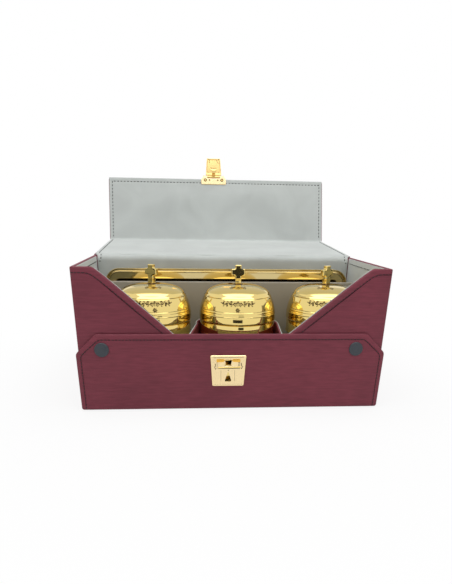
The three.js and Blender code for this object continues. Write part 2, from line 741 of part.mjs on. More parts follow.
function keyholeOutline() {
  return roundedOutline({
    bottomW: KEY_W, topW: KEY_TOP_W, v0: KEY_TOP_Z - KEY_H, v1: KEY_TOP_Z,
    bottomR: 0.5, topR: 0.3, u: LOCK_X,
  });
}

function buildLock(caseBottomZ, caseTopZ) {
  const plateOutline = roundedOutline({
    bottomW: LOCK_BOTTOM_W, topW: LOCK_TOP_W, v0: LOCK_BOTTOM_Z, v1: LOCK_TOP_Z,
    bottomR: LOCK_CORNER_R, topR: 0.8, u: LOCK_X,
  });
  const slotOutline = roundedOutline({
    bottomW: SLOT_W, v0: SLOT_Z - SLOT_H / 2, v1: SLOT_Z + SLOT_H / 2, bottomR: 0.8, topR: 0.8, u: LOCK_X,
  });
  add(model, 'lock_plate', 'gold', cut(
    uprightPlate(plateOutline, FLAP_FRONT_Y, LOCK_FRONT_Y),
    uprightPlate(slotOutline, FLAP_FRONT_Y + BITE, LOCK_FRONT_Y - BITE),
    uprightPlate(keyholeOutline(), FLAP_FRONT_Y + BITE, LOCK_FRONT_Y - BITE)));

  const caseX = [LOCK_X - LOCK_CASE_W / 2, LOCK_X + LOCK_CASE_W / 2];
  const innerX = [caseX[0] + LOCK_CASE_WALL, caseX[1] - LOCK_CASE_WALL];
  const caseBack = FLAP_FRONT_Y + LOCK_CASE_D;
  const cavity = box(innerX, [FLAP_FRONT_Y - BITE, caseBack - LOCK_CASE_WALL],
    [caseBottomZ + LOCK_CASE_WALL, caseTopZ - LOCK_CASE_WALL]);
  const shelfTop = catchBottomZ() - CATCH_TRAVEL - springHeight() - SEAT_GAP * 2;
  const shelfHalf = SPRING_R + SPRING_WIRE_R + BITE;
  const shelf = box([SPRING_X - shelfHalf, SPRING_X + shelfHalf],
    [catchFrontY(), caseBack - LOCK_CASE_WALL / 2], [shelfTop - LOCK_CASE_WALL, shelfTop]);
  const shell = cut(box(caseX, [FLAP_FRONT_Y, caseBack], [caseBottomZ, caseTopZ]), cavity);
  add(model, 'lock_case', 'steel', join(shell, shelf));
  add(model, 'lock_spring', 'steel', lockSpring(shelfTop));

  const bottom = catchBottomZ();
  const catchOutline = roundedOutline({ bottomW: CATCH_W, v0: bottom, v1: bottom + CATCH_H, u: LOCK_X });
  const holeOutline = roundedOutline({
    bottomW: CATCH_HOLE_BOTTOM_W, topW: CATCH_HOLE_TOP_W,
    v0: catchHoleTop() - CATCH_HOLE_H, v1: catchHoleTop(), bottomR: 0.4, topR: 0.4, u: LOCK_X,
  });
  add(model, 'lock_catch_plate', 'gold', cut(
    uprightPlate(catchOutline, catchBackY(), catchFrontY()),
    uprightPlate(holeOutline, catchBackY() + BITE, catchFrontY() - BITE)));
}

function springHeight() {
  return SPRING_TURNS * SPRING_PITCH + SPRING_WIRE_R * 2;
}

// A coil drawn at its pressed length, standing on the shelf of the lock's case.
function lockSpring(shelfTop) {
  const centreY = catchFrontY() + SPRING_R + SPRING_WIRE_R + SEAT_GAP;
  const stepsPerTurn = 10;
  const points = [];
  for (let i = 0; i <= SPRING_TURNS * stepsPerTurn; i += 1) {
    const turns = i / stepsPerTurn;
    const angle = turns * 2 * Math.PI;
    points.push(new THREE.Vector3(
      SPRING_X + SPRING_R * Math.cos(angle),
      centreY + SPRING_R * Math.sin(angle),
      shelfTop + SEAT_GAP + SPRING_WIRE_R + turns * SPRING_PITCH,
    ));
  }
  const wire = new THREE.Shape();
  const sides = 6;
  for (let i = 0; i < sides; i += 1) {
    const angle = (i / sides) * 2 * Math.PI;
    const [u, v] = [SPRING_WIRE_R * Math.cos(angle), SPRING_WIRE_R * Math.sin(angle)];
    if (i === 0) wire.moveTo(u, v);
    else wire.lineTo(u, v);
  }
  wire.closePath();
  return new THREE.ExtrudeGeometry(wire, {
    steps: points.length - 1, bevelEnabled: false, extrudePath: new THREE.CatmullRomCurve3(points),
  });
}

// Vessels

function vesselBody() {
  const inner = NECK_R - BODY_WALL;
  const upperR = BODY_R - RIDGE_PROUD;
  return turned([
    [0, 0], [FOOT_R, 0], [FOOT_R, FOOT_H], [BODY_WAIST_R, FOOT_H + FOOT_FLARE_H],
    [BODY_WAIST_R, RIDGE_Z - RIDGE_RISE], [BODY_R, RIDGE_Z - RIDGE_HALF_H], [BODY_R, RIDGE_Z + RIDGE_HALF_H],
    [upperR, RIDGE_Z + RIDGE_HALF_H * 2], [upperR, LID_SEAT_Z],
    [NECK_R, LID_SEAT_Z], [NECK_R, LID_SEAT_Z + NECK_H], [inner, LID_SEAT_Z + NECK_H],
    [inner, FOOT_H], [0, FOOT_H],
  ], VESSEL_SEGMENTS);
}

function vesselCup() {
  const outer = NECK_R - BODY_WALL - CUP_CLEARANCE;
  const bottom = FOOT_H + SEAT_GAP;
  const rim = LID_SEAT_Z + NECK_H + CUP_FLANGE_T;
  return turned([
    [0, bottom], [outer, bottom], [outer, rim - CUP_FLANGE_T], [NECK_R, rim - CUP_FLANGE_T], [NECK_R, rim],
    [outer - CUP_WALL, rim], [outer - CUP_WALL, bottom + CUP_WALL], [0, bottom + CUP_WALL],
  ], VESSEL_SEGMENTS);
}

// The crown of the dome: a quarter of an ellipse from the shoulder in to the flat under the collar.
function crownPoints(shoulderR, shoulderZ, topZ, flatR, steps) {
  const points = [];
  for (let i = 0; i <= steps; i += 1) {
    const angle = (i / steps) * (Math.PI / 2);
    const r = flatR + (shoulderR - flatR) * Math.cos(angle);
    points.push([r, shoulderZ + (topZ - shoulderZ) * Math.sin(angle)]);
  }
  return points;
}

function vesselDome() {
  const bottom = LID_SEAT_Z + SEAT_GAP;
  const skirtR = DOME_R - SKIRT_TUCK;
  const wall = DOME_WALL;
  const outside = [
    [skirtR, bottom],
    ...SKIRT.map(([drop, rise]) => [DOME_R - drop, DOME_WIDEST_Z + rise]),
    [SHOULDER_BEND_R, SHOULDER_Z - SHOULDER_BEND_DROP],
    ...crownPoints(SHOULDER_R, SHOULDER_Z, DOME_TOP_Z, DOME_FLAT_R, 5),
  ];
  const hole = SHANK_R + SHANK_CLEARANCE;
  const inside = [
    [hole, DOME_TOP_Z], [hole, DOME_TOP_Z - wall],
    ...crownPoints(SHOULDER_R - wall, SHOULDER_Z - wall, DOME_TOP_Z - wall, DOME_FLAT_R, 2).reverse(),
    ...SKIRT_HOLLOW.map((i) => [DOME_R - SKIRT[i][0] - wall, DOME_WIDEST_Z + SKIRT[i][1]]),
    [skirtR - wall, bottom],
  ];
  return turned([...outside, ...inside, outside[0]], VESSEL_SEGMENTS);
}

function collar() {
  const z0 = DOME_TOP_Z;
  const hole = SHANK_R + SHANK_CLEARANCE;
  const top = z0 + COLLAR_H;
  return turned([
    [hole, z0], [COLLAR_R, z0], [COLLAR_R, z0 + COLLAR_EDGE_H], [COLLAR_TOP_R, top], [hole, top], [hole, z0],
  ], 16);
}

// A cross with arms that widen a little, on a square stem with a round shank below it.
function finial(turnDeg) {
  const [h, w, e] = [CROSS_HALF, CROSS_ARM_W / 2, CROSS_ARM_END_W / 2];
  const arm = [[w, w], [h, e], [h, -e]];
  const points = [0, 1, 2, 3].flatMap((k) => arm.map(([u, v]) => {
    const angle = -k * Math.PI / 2;
    return [u * Math.cos(angle) - v * Math.sin(angle), CROSS_Z + u * Math.sin(angle) + v * Math.cos(angle)];
  }));
  const cross = uprightPlate(shapeOf(points), CROSS_T / 2, -CROSS_T / 2);
  const stemBottom = DOME_TOP_Z + COLLAR_H;
  const stemSpan = [-STEM_W / 2, STEM_W / 2];
  const stem = box(stemSpan, stemSpan, [stemBottom, CROSS_Z - CROSS_HALF + BITE]);
  const shankBottom = DOME_TOP_Z - DOME_WALL - SEAT_GAP - NUT_T;
  const shankTop = stemBottom + BITE;
  const shank = cylinder(SHANK_R, shankTop - shankBottom, 16);
  shank.rotateX(Math.PI / 2);
  shank.translate(0, 0, (shankTop + shankBottom) / 2);
  const whole = join(cross, stem, shank);
  whole.rotateZ(THREE.MathUtils.degToRad(turnDeg));
  return whole;
}

function nut() {
  const hex = cylinder(NUT_R, NUT_T, 6);
  const whole = cut(hex, cylinder(SHANK_R + NUT_CLEARANCE, NUT_T * 2, 24));
  whole.rotateX(Math.PI / 2);
  whole.translate(0, 0, DOME_TOP_Z - DOME_WALL - SEAT_GAP - NUT_T / 2);
  return whole;
}

function buildVessels() {
  for (const [index, vessel] of VESSELS.entries()) {
    const group = new THREE.Group();
    group.position.set(vesselX(index), VESSEL_Y, FLOOR_Z + SEAT_GAP);
    model.add(group);
    add(group, `vessel_${vessel.name}_body`, 'gold', vesselBody());
    add(group, `vessel_${vessel.name}_cup`, 'steel', vesselCup());
    add(group, `vessel_${vessel.name}_dome`, 'gold', vesselDome());
    add(group, `vessel_${vessel.name}_collar`, 'gold', collar());
    add(group, `vessel_${vessel.name}_finial`, 'gold', finial(vessel.finialTurn));
    add(group, `vessel_${vessel.name}_nut`, 'gold', nut());
  }
}

// Tray: standing on its long edge, its opening to the front

function trayRing(inset, y) {
  const r = Math.max(TRAY_CORNER_R - inset, TRAY_FLOOR_R);
  const outline = roundedOutline({
    bottomW: TRAY_L - inset * 2, v0: inset, v1: TRAY_W - inset, bottomR: r, topR: r, u: TRAY_X,
  });
  const bottomZ = FLOOR_Z + SEAT_GAP;
  return outline.getPoints(6).slice(0, -1).map((p) => new THREE.Vector3(p.x, y, bottomZ + p.y));
}

function buildTray() {
  const rimY = PARTITION_Y + PARTITION_T + TRAY_FROM_PARTITION;
  const backY = rimY + TRAY_DEPTH;
  const floorInset = TRAY_FLANGE + TRAY_FLARE;
  add(model, 'tray', 'gold', loft([
    trayRing(floorInset + TRAY_WALL, backY - TRAY_WALL),
    trayRing(TRAY_FLANGE + TRAY_WALL / 2, rimY),
    trayRing(0, rimY),
    trayRing(0, rimY + TRAY_WALL),
    trayRing(TRAY_FLANGE - TRAY_WALL / 2, rimY + TRAY_WALL),
    trayRing(floorInset, backY),
  ]));
}

buildCase();
buildCradle();
buildLid();
buildFlap();
buildVessels();
buildTray();

export default model;
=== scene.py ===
import json
import math
import random

import bmesh
import bpy
from mathutils import Matrix, Vector


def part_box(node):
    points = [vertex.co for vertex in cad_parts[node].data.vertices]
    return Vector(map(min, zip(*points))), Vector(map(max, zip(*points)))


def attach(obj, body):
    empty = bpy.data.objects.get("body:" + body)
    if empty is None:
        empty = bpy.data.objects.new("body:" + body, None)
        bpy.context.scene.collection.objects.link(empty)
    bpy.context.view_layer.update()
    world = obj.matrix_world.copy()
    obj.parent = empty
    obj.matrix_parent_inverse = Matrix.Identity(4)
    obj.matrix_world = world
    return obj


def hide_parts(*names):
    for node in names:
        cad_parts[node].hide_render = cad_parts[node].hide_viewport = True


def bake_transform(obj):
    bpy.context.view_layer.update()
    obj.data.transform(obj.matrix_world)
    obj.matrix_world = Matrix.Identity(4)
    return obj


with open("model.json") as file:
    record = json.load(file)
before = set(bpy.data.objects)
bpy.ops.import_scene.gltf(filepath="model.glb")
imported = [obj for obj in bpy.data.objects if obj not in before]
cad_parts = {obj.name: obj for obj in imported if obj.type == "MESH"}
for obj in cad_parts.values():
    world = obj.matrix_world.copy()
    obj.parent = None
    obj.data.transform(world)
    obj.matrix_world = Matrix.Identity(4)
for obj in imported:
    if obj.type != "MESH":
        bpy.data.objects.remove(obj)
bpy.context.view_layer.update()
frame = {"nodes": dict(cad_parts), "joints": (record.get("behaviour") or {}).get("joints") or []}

# An open leather-covered case with a suede lining, three gold oil vessels and a gold tray.
# Lengths are millimetres unless a name says otherwise, and become metres where a mesh is made.
MM = 0.001

# Stitches: pitch, length and radius of the thread
LEATHER_STITCH = (3.3, 2.5, 0.36)
LINING_STITCH = (4.6, 2.9, 0.55)

# Leather
EDGE_R = 1.3
GROOVE_R = 0.55
SEAM_OVER = 0.07
WING_SEAM_TOP = 5.4
WING_SEAM_SIDE = 5.8
FLAP_SEAM_TOP = 5.6
FLAP_SEAM_SIDE = 4.7

# Suede
SUEDE_T = 1.0
SHEET_EDGE_R = 0.9
SEAM_DIP = 0.25
LINING_GAP = 0.05
LINING_DROP = 0.9
LINING_SEAM_DROP = 6.5
LID_SEAM_SIDE = 4.2
LID_SEAM_END = 5.5

# How far the case's sides and the flap lean out toward the top
LEAN_FROM_X = 118.0
LEAN_OUT = 2.0
LEAN_IN = 3.0
FLAP_LEAN = 1.5
FLAP_LEAN_TOP = 60.0

# Lid: its rest angles, its soft bend at the case and the crease between its boards
LID_REST_DEG = 3.8
FRONT_REST_DEG = 73.0
LID_BEND_R = 7.0
LID_WIDEN_L = 14.0
BEND_OVERLAP = 1.6
LID_SPLIT_S = 60.0
LID_FACE = 0.5
FRONT_FACE = 3.0
CREASE_R = 4.0
LID_BOARD_T = 3.5
LID_EDGE_GAP = 0.7

# Vessels: radii, and heights above their feet
VESSELS = ("left", "middle", "right")
FINIAL_TURN_DEG = {"left": -34.0, "middle": 2.0, "right": 32.0}
ORNAMENT_TURN_DEG = {"left": 7.0, "middle": -5.0, "right": -16.0}
ROUND_SEGMENTS = 96
BODY_R = 37.8
FLANGE_R = 40.0
NECK_R = 35.4
DOME_R = 40.2
DOME_FOOT_Z = 77.3
DOME_SIDE_Z = 81.6
DOME_SIDE_H = 20.2
DOME_DRAW_IN = 5.0
DOME_WALL = 1.3
DOME_TOP_Z = 113.4
RING_LINES = ((85.4, 0.24), (87.7, -0.2), (90.0, -0.24))
RING_LINE_W = 0.32
SHOULDER_Z = 103.5
SHOULDER_R = 34.0
CROWN_FLAT_R = 5.5
NUT_HOLE_R = 2.1
COLLAR_H = 0.7
CROSS_Z = 125.6
CROSS_REACH = 7.1
BAND_Z = 98.6
ROSETTE_Z = 92.6
STROKE_R = 0.36
STROKE_LIFT = 0.08

# Tray: a section of its rim and flank as (distance in from the edge, depth), face first and then the back
TRAY_CORNER_R = 16.0
TRAY_DEPTH = 18.0
TRAY_FACE = [
    (0.0, 1.2), (0.0, 0.5), (0.3, 0.1), (0.8, 0.0), (1.3, 0.25), (1.7, 0.9), (2.2, 1.3), (2.7, 1.15),
    (3.1, 0.6), (3.5, 0.3), (4.0, 0.35), (4.5, 1.0), (4.9, 1.05), (10.9, 0.45), (11.3, 0.5), (11.8, 0.9),
    (12.2, 1.7), (13.4, 6.0), (14.6, 12.0), (15.9, 15.6), (18.0, 16.6), (21.0, 16.8), (22.0, 16.8),
]
TRAY_BACK = [
    (22.0, 18.0), (17.6, 17.9), (14.8, 16.6), (13.4, 12.6), (12.2, 6.6), (10.8, 2.0), (4.2, 2.2),
    (3.0, 1.9), (1.6, 2.3), (0.6, 2.0),
]

# Lock: its face is LOCK_RISE above its foot's plane, and heights are above the floor
LOCK_FOOT_W = 31.8
LOCK_RISE = 2.0
SLOT_W = 24.8
SLOT_H = 10.3
SLOT_Z = 48.5
SLOT_R = 1.4
CATCH_HOLE = [(-2.5, 46.3), (2.6, 46.3), (3.0, 49.4), (3.6, 51.0), (3.2, 52.0), (-2.8, 52.0), (-3.2, 51.0),
              (-2.7, 49.4)]
KEYHOLE = [(-0.6, 39.2), (-0.3, 39.7), (0.3, 39.7), (0.6, 39.2), (3.0, 31.4), (3.0, 30.5), (2.4, 30.0),
           (-2.6, 30.0), (-3.2, 30.5), (-3.2, 31.4)]
LOCK_BAR = [(-9.9, 44.3, 1.75), (0.0, 44.6, 1.8), (12.0, 44.8, 1.75)]
LOCK_MARKS = [
    (0.14, [(-7.3, 41.6), (-7.3, 30.2)]),
    (0.14, [(6.5, 41.6), (6.5, 30.2)]),
    (0.36, [(-13.0, 48.4), (-12.7, 46.5), (-13.6, 45.0), (-12.6, 42.8)]),
    (0.36, [(13.0, 49.0), (12.9, 47.4), (14.0, 45.3), (12.9, 43.1)]),
    (0.16, [(-15.4, 54.6), (15.6, 54.8)]),
    # This line runs just under the raised bar: painted shadow of the bar.
    (0.2, [(-9.6, 43.5), (0.0, 43.7), (11.6, 43.9)]),
]

# Hasp, measured on the lid's front board
HASP_BASE_T = 0.9
HASP_SHOULDER = 1.9
HASP_HOLE_UP = 6.0
HASP_RIVET_U = 11.7
HASP_HOLES = ((5.9, 1.1), (HASP_RIVET_U, 2.2))
HASP_EAR_OUT = 15.0
HASP_KNUCKLE_R = 1.8
TONGUE_KNUCKLE_W = 17.4
TONGUE_ROOT_W = 22.0
TONGUE_TIP_W = 19.0
TONGUE_T = 1.7
TONGUE_DISH = 0.55
LUG_W = 4.6
LUG_H = 3.0
HOOK_T = 1.6

# Stage, in metres: the camera as fitted, a white room, and lamps and cards as (name, place, size, level)
CAMERA_AT = Vector((-0.0459, -0.5404, 0.1880))
CAMERA_YAW_DEG = -4.73
CAMERA_PITCH_DEG = 20.64
CAMERA_ROLL_DEG = -0.97
FOCAL_PX = 497.1
IMAGE_H = 584
CENTRE_V = 400.0
WHITE = (1.0, 1.0, 1.0, 1.0)
WORLD_LEVEL = 0.4
FLOOR_SIZE = (6.0, 6.0)
STAGE_MIDDLE = (0.0, 0.0, 0.1)
LAMPS = [
    ("overhead", (0.0, -0.1, 1.3), (1.8, 1.4), 1.9),
    ("front", (0.0, -1.6, 0.9), (1.6, 0.8), 0.6),
]
CARDS = [
    ("ceiling_back", (0.0, 0.8, 1.1), (2.4, 1.2), 0.68),
    ("ceiling_front", (0.0, -0.42, 1.35), (1.9, 1.0), 2.75),
    ("hands", (-0.02, -0.43, 0.024), (0.2, 0.046), 0.03),
    ("dark_front", (0.036, -0.30, 0.102), (0.075, 0.04), 0.04),
]


def limits(node):
    """A node's lowest and highest corners."""
    low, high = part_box(node)
    return low / MM, high / MM


def joint_point(name):
    """A point on a joint's axis."""
    joint = next(j for j in frame["joints"] if j["name"] == name)
    return Vector(joint["pos_m"]) / MM


def on_board(point, axis, degrees):
    """A point's place on a board that rises from an axis by degrees: across, along and out of the board."""
    a = math.radians(degrees)
    q = point - axis
    return Vector((q.x, q.y * math.cos(a) + q.z * math.sin(a), q.z * math.cos(a) - q.y * math.sin(a)))


def limits_on_front(node):
    """A node's lowest and highest corners in the lid's front board: across, along and out of it."""
    vertices = frame["nodes"][node].data.vertices
    corners = [on_board(vertex.co / MM, FOLD, FRONT_REST_DEG) for vertex in vertices]
    return [Vector([pick(p[i] for p in corners) for i in range(3)]) for pick in (min, max)]


# Places that follow from the frame
CASE_LOW, CASE_HIGH = limits("back_panel")
BOARD = CASE_HIGH.y - CASE_LOW.y
CASE_LOW = Vector((CASE_LOW.x, limits("front_wing_left")[0].y, 0.0))
LINED_HIGH = Vector((limits("lining_side_right")[0].x, limits("lining_back")[0].y, CASE_HIGH.z))
LINED_LOW = Vector((-LINED_HIGH.x, limits("lining_wing_left")[1].y, limits("lining_base")[1].z))
SILL_TOP = limits("front_sill")[1].z
HINGE = joint_point("lid_hinge")
FOLD = joint_point("lid_fold")
FOLD_ON_LID = on_board(FOLD, HINGE, LID_REST_DEG)
FRONT_END = limits_on_front("lid_front_panel")[1].y
LID_HALF = limits("lid_top_panel")[1].x
LID_LINING_HALF = LID_HALF - LID_EDGE_GAP
FLAP_LOW, FLAP_HIGH = limits("flap_panel")
FLAP_BACK = limits("flap_lining")[1].y
LOCK_LOW, LOCK_HIGH = limits("lock_plate")
LOCK_X = (LOCK_LOW.x + LOCK_HIGH.x) / 2
HASP_LOW, HASP_HIGH = limits_on_front("hasp_base_plate")
HASP_X = (HASP_LOW.x + HASP_HIGH.x) / 2
HASP_FACE = HASP_HIGH.z
PIN_AT = ((limits_on_front("hasp_pin")[0] + limits_on_front("hasp_pin")[1]) / 2)[1:]
TONGUE_ROOT = PIN_AT[0] + HASP_KNUCKLE_R + 0.3
TONGUE_END = limits_on_front("hasp_tongue")[1]
TONGUE_BACK = HASP_FACE - TONGUE_T
TONGUE_FLOOR = HASP_FACE - TONGUE_DISH


# Materials

def add_node(tree, kind, inputs=()):
    """A shader node with its inputs set to values or linked to sockets."""
    node = tree.nodes.new(kind)
    for key, value in dict(inputs).items():
        if isinstance(value, bpy.types.NodeSocket):
            tree.links.new(value, node.inputs[key])
        else:
            node.inputs[key].default_value = value
    return node


def new_material(name, color, roughness, metallic=0.0, sheen=0.0):
    material = bpy.data.materials.new(name)
    material.use_nodes = True
    shader = material.node_tree.nodes["Principled BSDF"]
    shader.inputs["Base Color"].default_value = (*color, 1.0)
    shader.inputs["Roughness"].default_value = roughness
    shader.inputs["Metallic"].default_value = metallic
    shader.inputs["Sheen Weight"].default_value = sheen
    return material


def link_to_shader(material, socket, name):
    material.node_tree.links.new(socket, material.node_tree.nodes["Principled BSDF"].inputs[name])


def noise(material, scale, detail=3.0, stretch=(1.0, 1.0, 1.0), distortion=0.0):
    """A noise texture over the part's own coordinates, in metres; returns its factor socket."""
    tree = material.node_tree
    coordinates = add_node(tree, "ShaderNodeTexCoord").outputs["Object"]
    mapped = add_node(tree, "ShaderNodeMapping", {"Vector": coordinates, "Scale": stretch}).outputs["Vector"]
    inputs = {"Vector": mapped, "Scale": scale, "Detail": detail, "Distortion": distortion}
    return add_node(tree, "ShaderNodeTexNoise", inputs).outputs["Fac"]


def ramp(material, factor, stops):
    """Turns a factor into a colour through (position, colour) stops."""
    node = add_node(material.node_tree, "ShaderNodeValToRGB", {"Fac": factor})
    for element, (position, color) in zip(node.color_ramp.elements, stops):
        element.position = position
        element.color = (*color, 1.0)
    return node.outputs["Color"]


def multiply(material, first, second):
    node = add_node(material.node_tree, "ShaderNodeVectorMath", {0: first, 1: second})
    node.operation = "MULTIPLY"
    return node.outputs["Vector"]


def vary_roughness(material, factor, low, high):
    inputs = {"Value": factor, "To Min": low, "To Max": high}
    spread_out = add_node(material.node_tree, "ShaderNodeMapRange", inputs)
    link_to_shader(material, spread_out.outputs["Result"], "Roughness")


def add_bump(material, factor, height, strength=1.0):
    """Adds a bump over any bump that the material has already."""
    inputs = {"Distance": height * MM, "Strength": strength, "Height": factor}
    target = material.node_tree.nodes["Principled BSDF"].inputs["Normal"]
    if target.is_linked:
        inputs["Normal"] = target.links[0].from_socket
    bump = add_node(material.node_tree, "ShaderNodeBump", inputs)
    link_to_shader(material, bump.outputs["Normal"], "Normal")


def shade(color, factor):
    return tuple(channel * factor for channel in color)


def leather_material(name, color):
    """Grained leatherette with fine streaks across the object and soft clouds."""
    material = new_material(name, color, 0.5)
    material.node_tree.nodes["Principled BSDF"].inputs["Specular IOR Level"].default_value = 0.3
    cloud = ramp(material, noise(material, 14.0, 4.0), [(0.3, shade(color, 0.9)), (0.72, shade(color, 1.1))])
    streaks = noise(material, 700.0, 2.0, (0.1, 1.0, 1.0))
    streak_tone = ramp(material, streaks, [(0.3, (0.86,) * 3), (0.7, (1.12,) * 3)])
    link_to_shader(material, multiply(material, cloud, streak_tone), "Base Color")
    vary_roughness(material, noise(material, 260.0, 2.0), 0.42, 0.58)
    add_bump(material, noise(material, 1100.0, 3.0, (0.32, 1.0, 1.0)), 0.09, 0.8)
    add_bump(material, noise(material, 320.0, 2.0), 0.08, 0.4)
    return material


def suede_material(name, color):
    material = new_material(name, color, 0.92, sheen=0.25)
    cloud = noise(material, 22.0, 5.0, distortion=0.6)
    tone = ramp(material, cloud, [(0.28, shade(color, 0.9)), (0.75, shade(color, 1.06))])
    link_to_shader(material, tone, "Base Color")
    add_bump(material, noise(material, 1700.0, 3.0), 0.1, 0.7)
    add_bump(material, noise(material, 120.0, 3.0), 0.12, 0.35)
    return material


def metal_material(name, color, low, high, ripple):
    """A metal whose roughness varies from low to high, with a soft ripple."""
    material = new_material(name, color, low, metallic=1.0)
    vary_roughness(material, noise(material, 180.0, 3.0), low, high)
    add_bump(material, noise(material, 60.0, 1.0), ripple, 0.5)
    return material


def thread_material(name, color, roughness):
    material = new_material(name, color, roughness)
    add_bump(material, noise(material, 4000.0, 1.0), 0.05)
    return material


def lacquer_material(name, color):
    material = new_material(name, color, 0.3)
    vary_roughness(material, noise(material, 500.0), 0.22, 0.4)
    add_bump(material, noise(material, 900.0), 0.04, 0.4)
    return material


leather = leather_material("burgundy_leatherette", (0.176, 0.0305, 0.048))
suede = suede_material("grey_suede", (0.53, 0.56, 0.54))
# A darker, warmer copy of the grey suede for the partition between the vessels: painted shade, with a painted
# warm reflection of the gold.
painted_shade_suede = suede_material("painted_shade_suede", (0.35, 0.318, 0.255))
gold = metal_material("polished_gold", (0.81, 0.63, 0.235), 0.035, 0.075, 0.05)
# A darker copy of the gold for the tray, which stands upright in the shade of the case: painted shade.
painted_shade_tray_gold = metal_material("painted_shade_tray_gold", (0.62, 0.49, 0.23), 0.035, 0.075, 0.05)
pale_gold = metal_material("pale_gold", (0.90, 0.71, 0.40), 0.16, 0.26, 0.03)
# A darker, more orange copy of the gold for the hasp's hinged parts and rivets: painted reflection of the dim
# surroundings in front of the case.
hasp_painted_reflection_gold = metal_material("hasp_painted_reflection_gold", (0.84, 0.60, 0.245), 0.10, 0.18, 0.03)
# A strongly orange gold for the pads inside the lock's slot: painted reflection of the gold round them.
painted_reflection_orange_gold = metal_material("painted_reflection_orange_gold", (0.85, 0.47, 0.08), 0.12, 0.25, 0.03)
# Near-black gold for the collar under each cross: painted shadow in the gap where the stem meets the dome.
painted_shadow_gold = metal_material("painted_shadow_gold", (0.16, 0.10, 0.04), 0.2, 0.3, 0.02)
# Dark gold for the engraved lines, also used for painted shade: discs in the hasp's holes, a line under the
# lock's bar and strokes on the hasp's tongue.
engraving_and_painted_shade = metal_material("engraving_and_painted_shade", (0.10, 0.065, 0.025), 0.3, 0.5, 0.02)
steel = metal_material("steel", (0.42, 0.42, 0.41), 0.25, 0.4, 0.03)
lacquer = lacquer_material("dark_lacquer", (0.027, 0.034, 0.044))
thread = thread_material("dark_thread", (0.028, 0.014, 0.018), 0.7)
grey_thread = thread_material("grey_thread", (0.045, 0.048, 0.045), 0.8)

SLOTS = {
    "burgundy_leatherette": (leather, thread),
    "grey_suede": (suede, painted_shade_suede, grey_thread),
    "gold_plate": (gold, painted_shade_tray_gold, pale_gold, hasp_painted_reflection_gold, painted_reflection_orange_gold, painted_shadow_gold, engraving_and_painted_shade),
    "dark_snap": (lacquer,),
}


# Mesh helpers

def build(name, points, faces, material, smooth_deg=40):
    """An object from points and faces, with its faces turned outward."""
    mesh = bpy.data.meshes.new(name)
    mesh.from_pydata([Vector(p) * MM for p in points], [], faces)
    tidy = bmesh.new()
    tidy.from_mesh(mesh)
    bmesh.ops.remove_doubles(tidy, verts=tidy.verts, dist=1e-7)
    bmesh.ops.recalc_face_normals(tidy, faces=tidy.faces)
    if tidy.calc_volume(signed=True) < 0:
        bmesh.ops.reverse_faces(tidy, faces=tidy.faces)
    tidy.to_mesh(mesh)
    tidy.free()
    mesh.materials.append(material)
    made = bpy.data.objects.new(name, mesh)
    bpy.context.scene.collection.objects.link(made)
    return smooth(made, smooth_deg)


def smooth(obj, degrees=40):
    """Smooths an object's shading where its faces meet at less than an angle."""
    obj.data.shade_smooth()
    obj.data.set_sharp_from_angle(angle=math.radians(degrees))
    return obj


def settle(obj):
    """Applies an object's modifiers to its mesh."""
    bpy.context.view_layer.update()
    graph = bpy.context.evaluated_depsgraph_get()
    mesh = bpy.data.meshes.new_from_object(obj.evaluated_get(graph))
    obj.modifiers.clear()
    obj.data = mesh


def carve(obj, *cutters):
    """Cuts the cutters out of an object and removes them."""
    for cutter in cutters:
        modifier = obj.modifiers.new("carve", "BOOLEAN")
        modifier.operation = "DIFFERENCE"
        modifier.solver = "EXACT"
        modifier.object = cutter
        settle(obj)
        bpy.data.objects.remove(cutter)
    return obj


def round_edges(obj, width, segments=3):
    """Rounds the edges where an object's faces meet at more than 30 degrees."""
    modifier = obj.modifiers.new("round", "BEVEL")
    modifier.width = width * MM
    modifier.segments = segments
    modifier.limit_method = "ANGLE"
    modifier.angle_limit = math.radians(30)
    settle(obj)
    return smooth(obj)


def spread(low, high, step):
    """Evenly spaced values from low to high, about a step apart."""
    count = max(1, round((high - low) / step))
    return [low + (high - low) * i / count for i in range(count + 1)]


def slice_faces(obj, step):
    """Cuts an object's faces into cells, so that later cuts and their shading stay local."""
    mesh = bmesh.new()
    mesh.from_mesh(obj.data)
    for axis in range(3):
        places = [vertex.co[axis] for vertex in mesh.verts]
        for at in spread(min(places), max(places), step * MM)[1:-1]:
            normal = Vector((0, 0, 0))
            normal[axis] = 1
            parts = mesh.verts[:] + mesh.edges[:] + mesh.faces[:]
            bmesh.ops.bisect_plane(mesh, geom=parts, dist=1e-7, plane_co=normal * at, plane_no=normal)
    mesh.to_mesh(obj.data)
    mesh.free()
    return obj


def fill_slot(obj, nodes):
    """Looks up the slot of a piece's material without keeping it, and hides the CAD nodes that the piece
    stands for.
    """
    next(slot for slot, materials in SLOTS.items() if obj.data.materials[0] in materials)
    if nodes:
        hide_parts(*nodes)


def finish_piece(obj, body, *nodes):
    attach(obj, body)
    fill_slot(obj, nodes)


def finish_blend(obj, bodies, start, end, *nodes):
    """Bakes the placement of a piece that lies between two bodies into its mesh, and hides the CAD nodes that
    it stands for; bodies, start and end are not used.
    """
    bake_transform(obj)
    fill_slot(obj, nodes)


def paint(node, material):
    """Gives a CAD node that shows as it is a material."""
    obj = frame["nodes"][node]
    obj.data.materials.clear()
    obj.data.materials.append(material)


def fuse(name, pieces):
    """Joins objects of one material into one."""
    joined = bmesh.new()
    for piece in pieces:
        joined.from_mesh(piece.data)
    mesh = bpy.data.meshes.new(name)
    joined.to_mesh(mesh)
    joined.free()
    mesh.materials.append(pieces[0].data.materials[0])
    for piece in pieces:
        bpy.data.objects.remove(piece)
    made = bpy.data.objects.new(name, mesh)
    bpy.context.scene.collection.objects.link(made)
    return smooth(made, 60)


